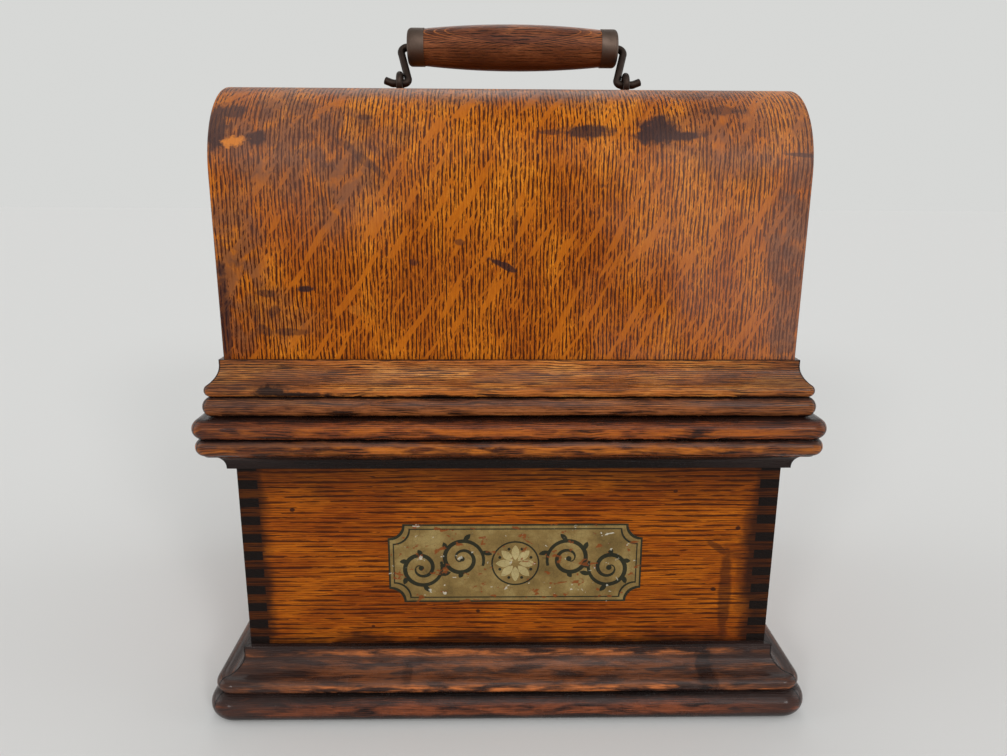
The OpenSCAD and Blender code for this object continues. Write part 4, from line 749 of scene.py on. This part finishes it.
# Lid skirt and lid bead
# The lid's own pair of mitred oak mouldings, glued and pinned round its foot so that they close down on the
# cornice. They are browner than the case's mouldings and rubbed at their noses.
lid_bead_low, lid_bead_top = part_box("lid_bead")[0].z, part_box("lid_bead")[1].z
skirt_tones = [(0.0, "#703814"), (0.4, "#B4662C"), (0.75, "#D6863C"), (1.0, "#F0A454")]
skirt_marks = [(-112, lid_bead_top / MM + 3, 7.5, 2.6, 6, 0.9),
    (-98, lid_bead_top / MM + 1.6, 18, 1.2, 0, 0.9)]
skirt_oak = moulding_oak("oak skirt stained", skirt_tones, "#2A160C",
    shade_and_grime_at=[(lid_bead_top, 0.9 * MM, 0.95), (skirt_top, 0.5 * MM, 0.7)],
    worn_at=[(lid_bead_top + 2.6 * MM, 2.4 * MM, 0.9), (skirt_top - 1.4 * MM, 1.2 * MM, 0.8)],
    worn="#B9682A", film_and_sheen_at=[(lid_bead_top + 9 * MM, 6 * MM, 0.3)], marks=skirt_marks)
dress(skirt_oak, "lid_skirt")
lid_bead_tones = [(0.0, "#36190C"), (0.4, "#7A4222"), (0.75, "#AA6434"), (1.0, "#D08648")]
lid_bead_oak = moulding_oak("oak lid bead stained", lid_bead_tones, "#1D100B",
    shade_and_grime_at=[(lid_bead_top, 1.2 * MM, 0.95), (lid_bead_low, 1.8 * MM, 0.95)],
    worn_at=[(0.5 * (lid_bead_low + lid_bead_top) - 1 * MM, 3 * MM, 0.75)], worn="#A86234",
    film_and_sheen_at=[(lid_bead_top - 2.5 * MM, 2.6 * MM, 0.4)])
dress(lid_bead_oak, "lid_bead")


# Handle
# A turned oak grip on a bent iron wire, capped by two iron ferrules. The wire hangs in two iron eyes that are
# screwed into the top of the lid.
grip_low, grip_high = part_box("handle_grip")
grip_mid_x, grip_mid_y, grip_mid_z = (grip_low + grip_high) / 2
grip_round = (grip_high.z - grip_low.z) / 2


def grip_oak():
    """Oak rubbed dark by hands: red-brown between black lines, with a soft gloss and painted shade
    underneath.
    """
    material, tree = new_material("oak grip rubbed")
    place = node(tree, "TexCoord", out="Object")
    x, y, z = node(tree, "SeparateXYZ", place).node.outputs
    tones = [(0.0, "#44200F"), (0.4, "#66351E"), (0.7, "#824A2C"), (1.0, "#A4643C")]
    deep = node(tree, "Math", y, grip_mid_y, operation="SUBTRACT")
    high = node(tree, "Math", z, grip_mid_z, operation="SUBTRACT")
    angle = node(tree, "Math", deep, high, operation="ARCTAN2")
    round_it = node(tree, "Math", angle, grip_round, operation="MULTIPLY")
    lie = node(tree, "CombineXYZ", x, round_it, 0.0)
    pore_pitch, pore_run, pore_deep = 1.7 * MM, 11 * MM, 0.1 * MM
    colour, pores = oak_figure(tree, lie, tones, "#150805", pore_pitch, pore_run, 1.0)
    # Painted shade darkens the underside
    painted_shade_under = node(tree, "MapRange", high, 0.1 * grip_round, -0.9 * grip_round, 0.0, 0.66)
    colour = node(tree, "Mix", painted_shade_under, colour, "#200D08", data_type="RGBA")
    # Towards the ends the turning cuts down through the rings, which show as nested pale tongues
    ring_gap, first_ring, tongue_side, tongue_bow = 6 * MM, 36 * MM, 0.8 * grip_round, 0.35 / MM
    off = node(tree, "Math", x, grip_mid_x, operation="SUBTRACT")
    to_end = node(tree, "Math", off, operation="ABSOLUTE")
    aside = node(tree, "Math", round_it, tongue_side, operation="ADD")
    square = node(tree, "Math", aside, aside, operation="MULTIPLY")
    ring = node(tree, "Math", square, tongue_bow, to_end, operation="MULTIPLY_ADD")
    phase = node(tree, "Math", ring, 2 * math.pi / ring_gap, operation="MULTIPLY")
    wave = node(tree, "Math", phase, operation="SINE")
    tongue = node(tree, "MapRange", wave, 0.8, 0.95, 0.0, 0.75)
    near_end = node(tree, "MapRange", ring, first_ring, first_ring + 2 * MM, 0.0, 1.0)
    tongue = node(tree, "Math", tongue, near_end, operation="MULTIPLY")
    colour = node(tree, "Mix", tongue, colour, "#AE6530", data_type="RGBA")
    finish_surface(tree, colour, pores, 0.42, pore_deep, Specular_IOR_Level=0.15)
    return material


dress(grip_oak(), "handle_grip")
dress(metal("iron browned", "#62534A", "#3C312B", 0.5), "handle_ferrules")
dress(metal("iron wire blackened", "#3A302B", "#1F1916", 0.45), "handle_bail", "handle_eyes")


# Stage
# A pale floor that blends into the background, soft light from above and all sides, and the camera at the
# photograph's viewing angle.
def pale_floor():
    """Matt paper: pale, with no gloss that would mirror the lamps."""
    material, tree = new_material("floor pale")
    surface = node(tree, "BsdfPrincipled", Base_Color="#DFDFDE", Roughness=0.9, Specular_IOR_Level=0.0)
    node(tree, "OutputMaterial", surface)
    return material


floor_half = 12
floor_corners = [(x * floor_half, y * floor_half, 0) for x, y in ((-1, -1), (1, -1), (1, 1), (-1, 1))]
floor_mesh = bpy.data.meshes.new("floor")
floor_mesh.from_pydata(floor_corners, [], [(0, 1, 2, 3)])
floor_mesh.materials.append(pale_floor())
floor = bpy.data.objects.new("floor", floor_mesh)
scene.collection.objects.link(floor)

world = bpy.data.worlds.new("studio")
world.use_nodes = True
sky = world.node_tree
sky.nodes.clear()
# What the eye, metal and mica see of it has the floor's tone, and its light on the object is weaker
light_level, seen_level = 0.5, 0.8
ray = node(sky, "LightPath").node.outputs
seen = node(sky, "Math", ray["Is Camera Ray"], ray["Is Glossy Ray"], operation="MAXIMUM")
seen = node(sky, "Math", seen, ray["Is Transmission Ray"], operation="MAXIMUM")
level = node(sky, "MapRange", seen, 0.0, 1.0, light_level, seen_level)
node(sky, "OutputWorld", node(sky, "Background", "#EDEEEC", level))
scene.world = world

# Every lamp points at the middle of the closed case
middle = Vector((0, 0, 0.17))


def soft_sun(name, place, spread, strength):
    """Even light towards the object from that place, as wide as the spread in degrees."""
    lamp = bpy.data.lights.new(name, "SUN")
    lamp.angle, lamp.energy = math.radians(spread), strength
    made = bpy.data.objects.new(name, lamp)
    scene.collection.objects.link(made)
    made.location = place
    made.rotation_euler = (middle - Vector(place)).to_track_quat("-Z", "Y").to_euler()


soft_sun("key", (0.3, -1.2, 1.2), 45, 0.85)
for hand, x in (("left", -1), ("right", 1)):
    soft_sun("front " + hand, (0.6 * x, -1.0, 0.62), 10, 0.6)
    soft_sun("side " + hand, (1.2 * x, 0.1, 0.6), 40, 0.5)
soft_sun("back", (0.0, 1.1, 1.2), 30, 0.4)

# The photograph was taken close, a little left of the middle, looking down by 14 degrees
eye = Vector((-0.01006, -0.4463, 0.2615))
pitch, yaw, roll = 0.2408, -0.01849, 0.00482
photo_width, focal_px = 1007, 756.5
camera = bpy.data.cameras.new("camera")
camera.sensor_fit, camera.sensor_width = "HORIZONTAL", 36.0
camera.lens = camera.sensor_width * focal_px / photo_width
camera.clip_start = 0.01
view = bpy.data.objects.new("camera", camera)
scene.collection.objects.link(view)
turned = Matrix.Rotation(yaw, 4, "Z") @ Matrix.Rotation(math.pi / 2 - pitch, 4, "X")
view.matrix_world = Matrix.Translation(eye) @ turned @ Matrix.Rotation(roll, 4, "Z")
scene.camera = view
scene.view_settings.view_transform = "Standard"
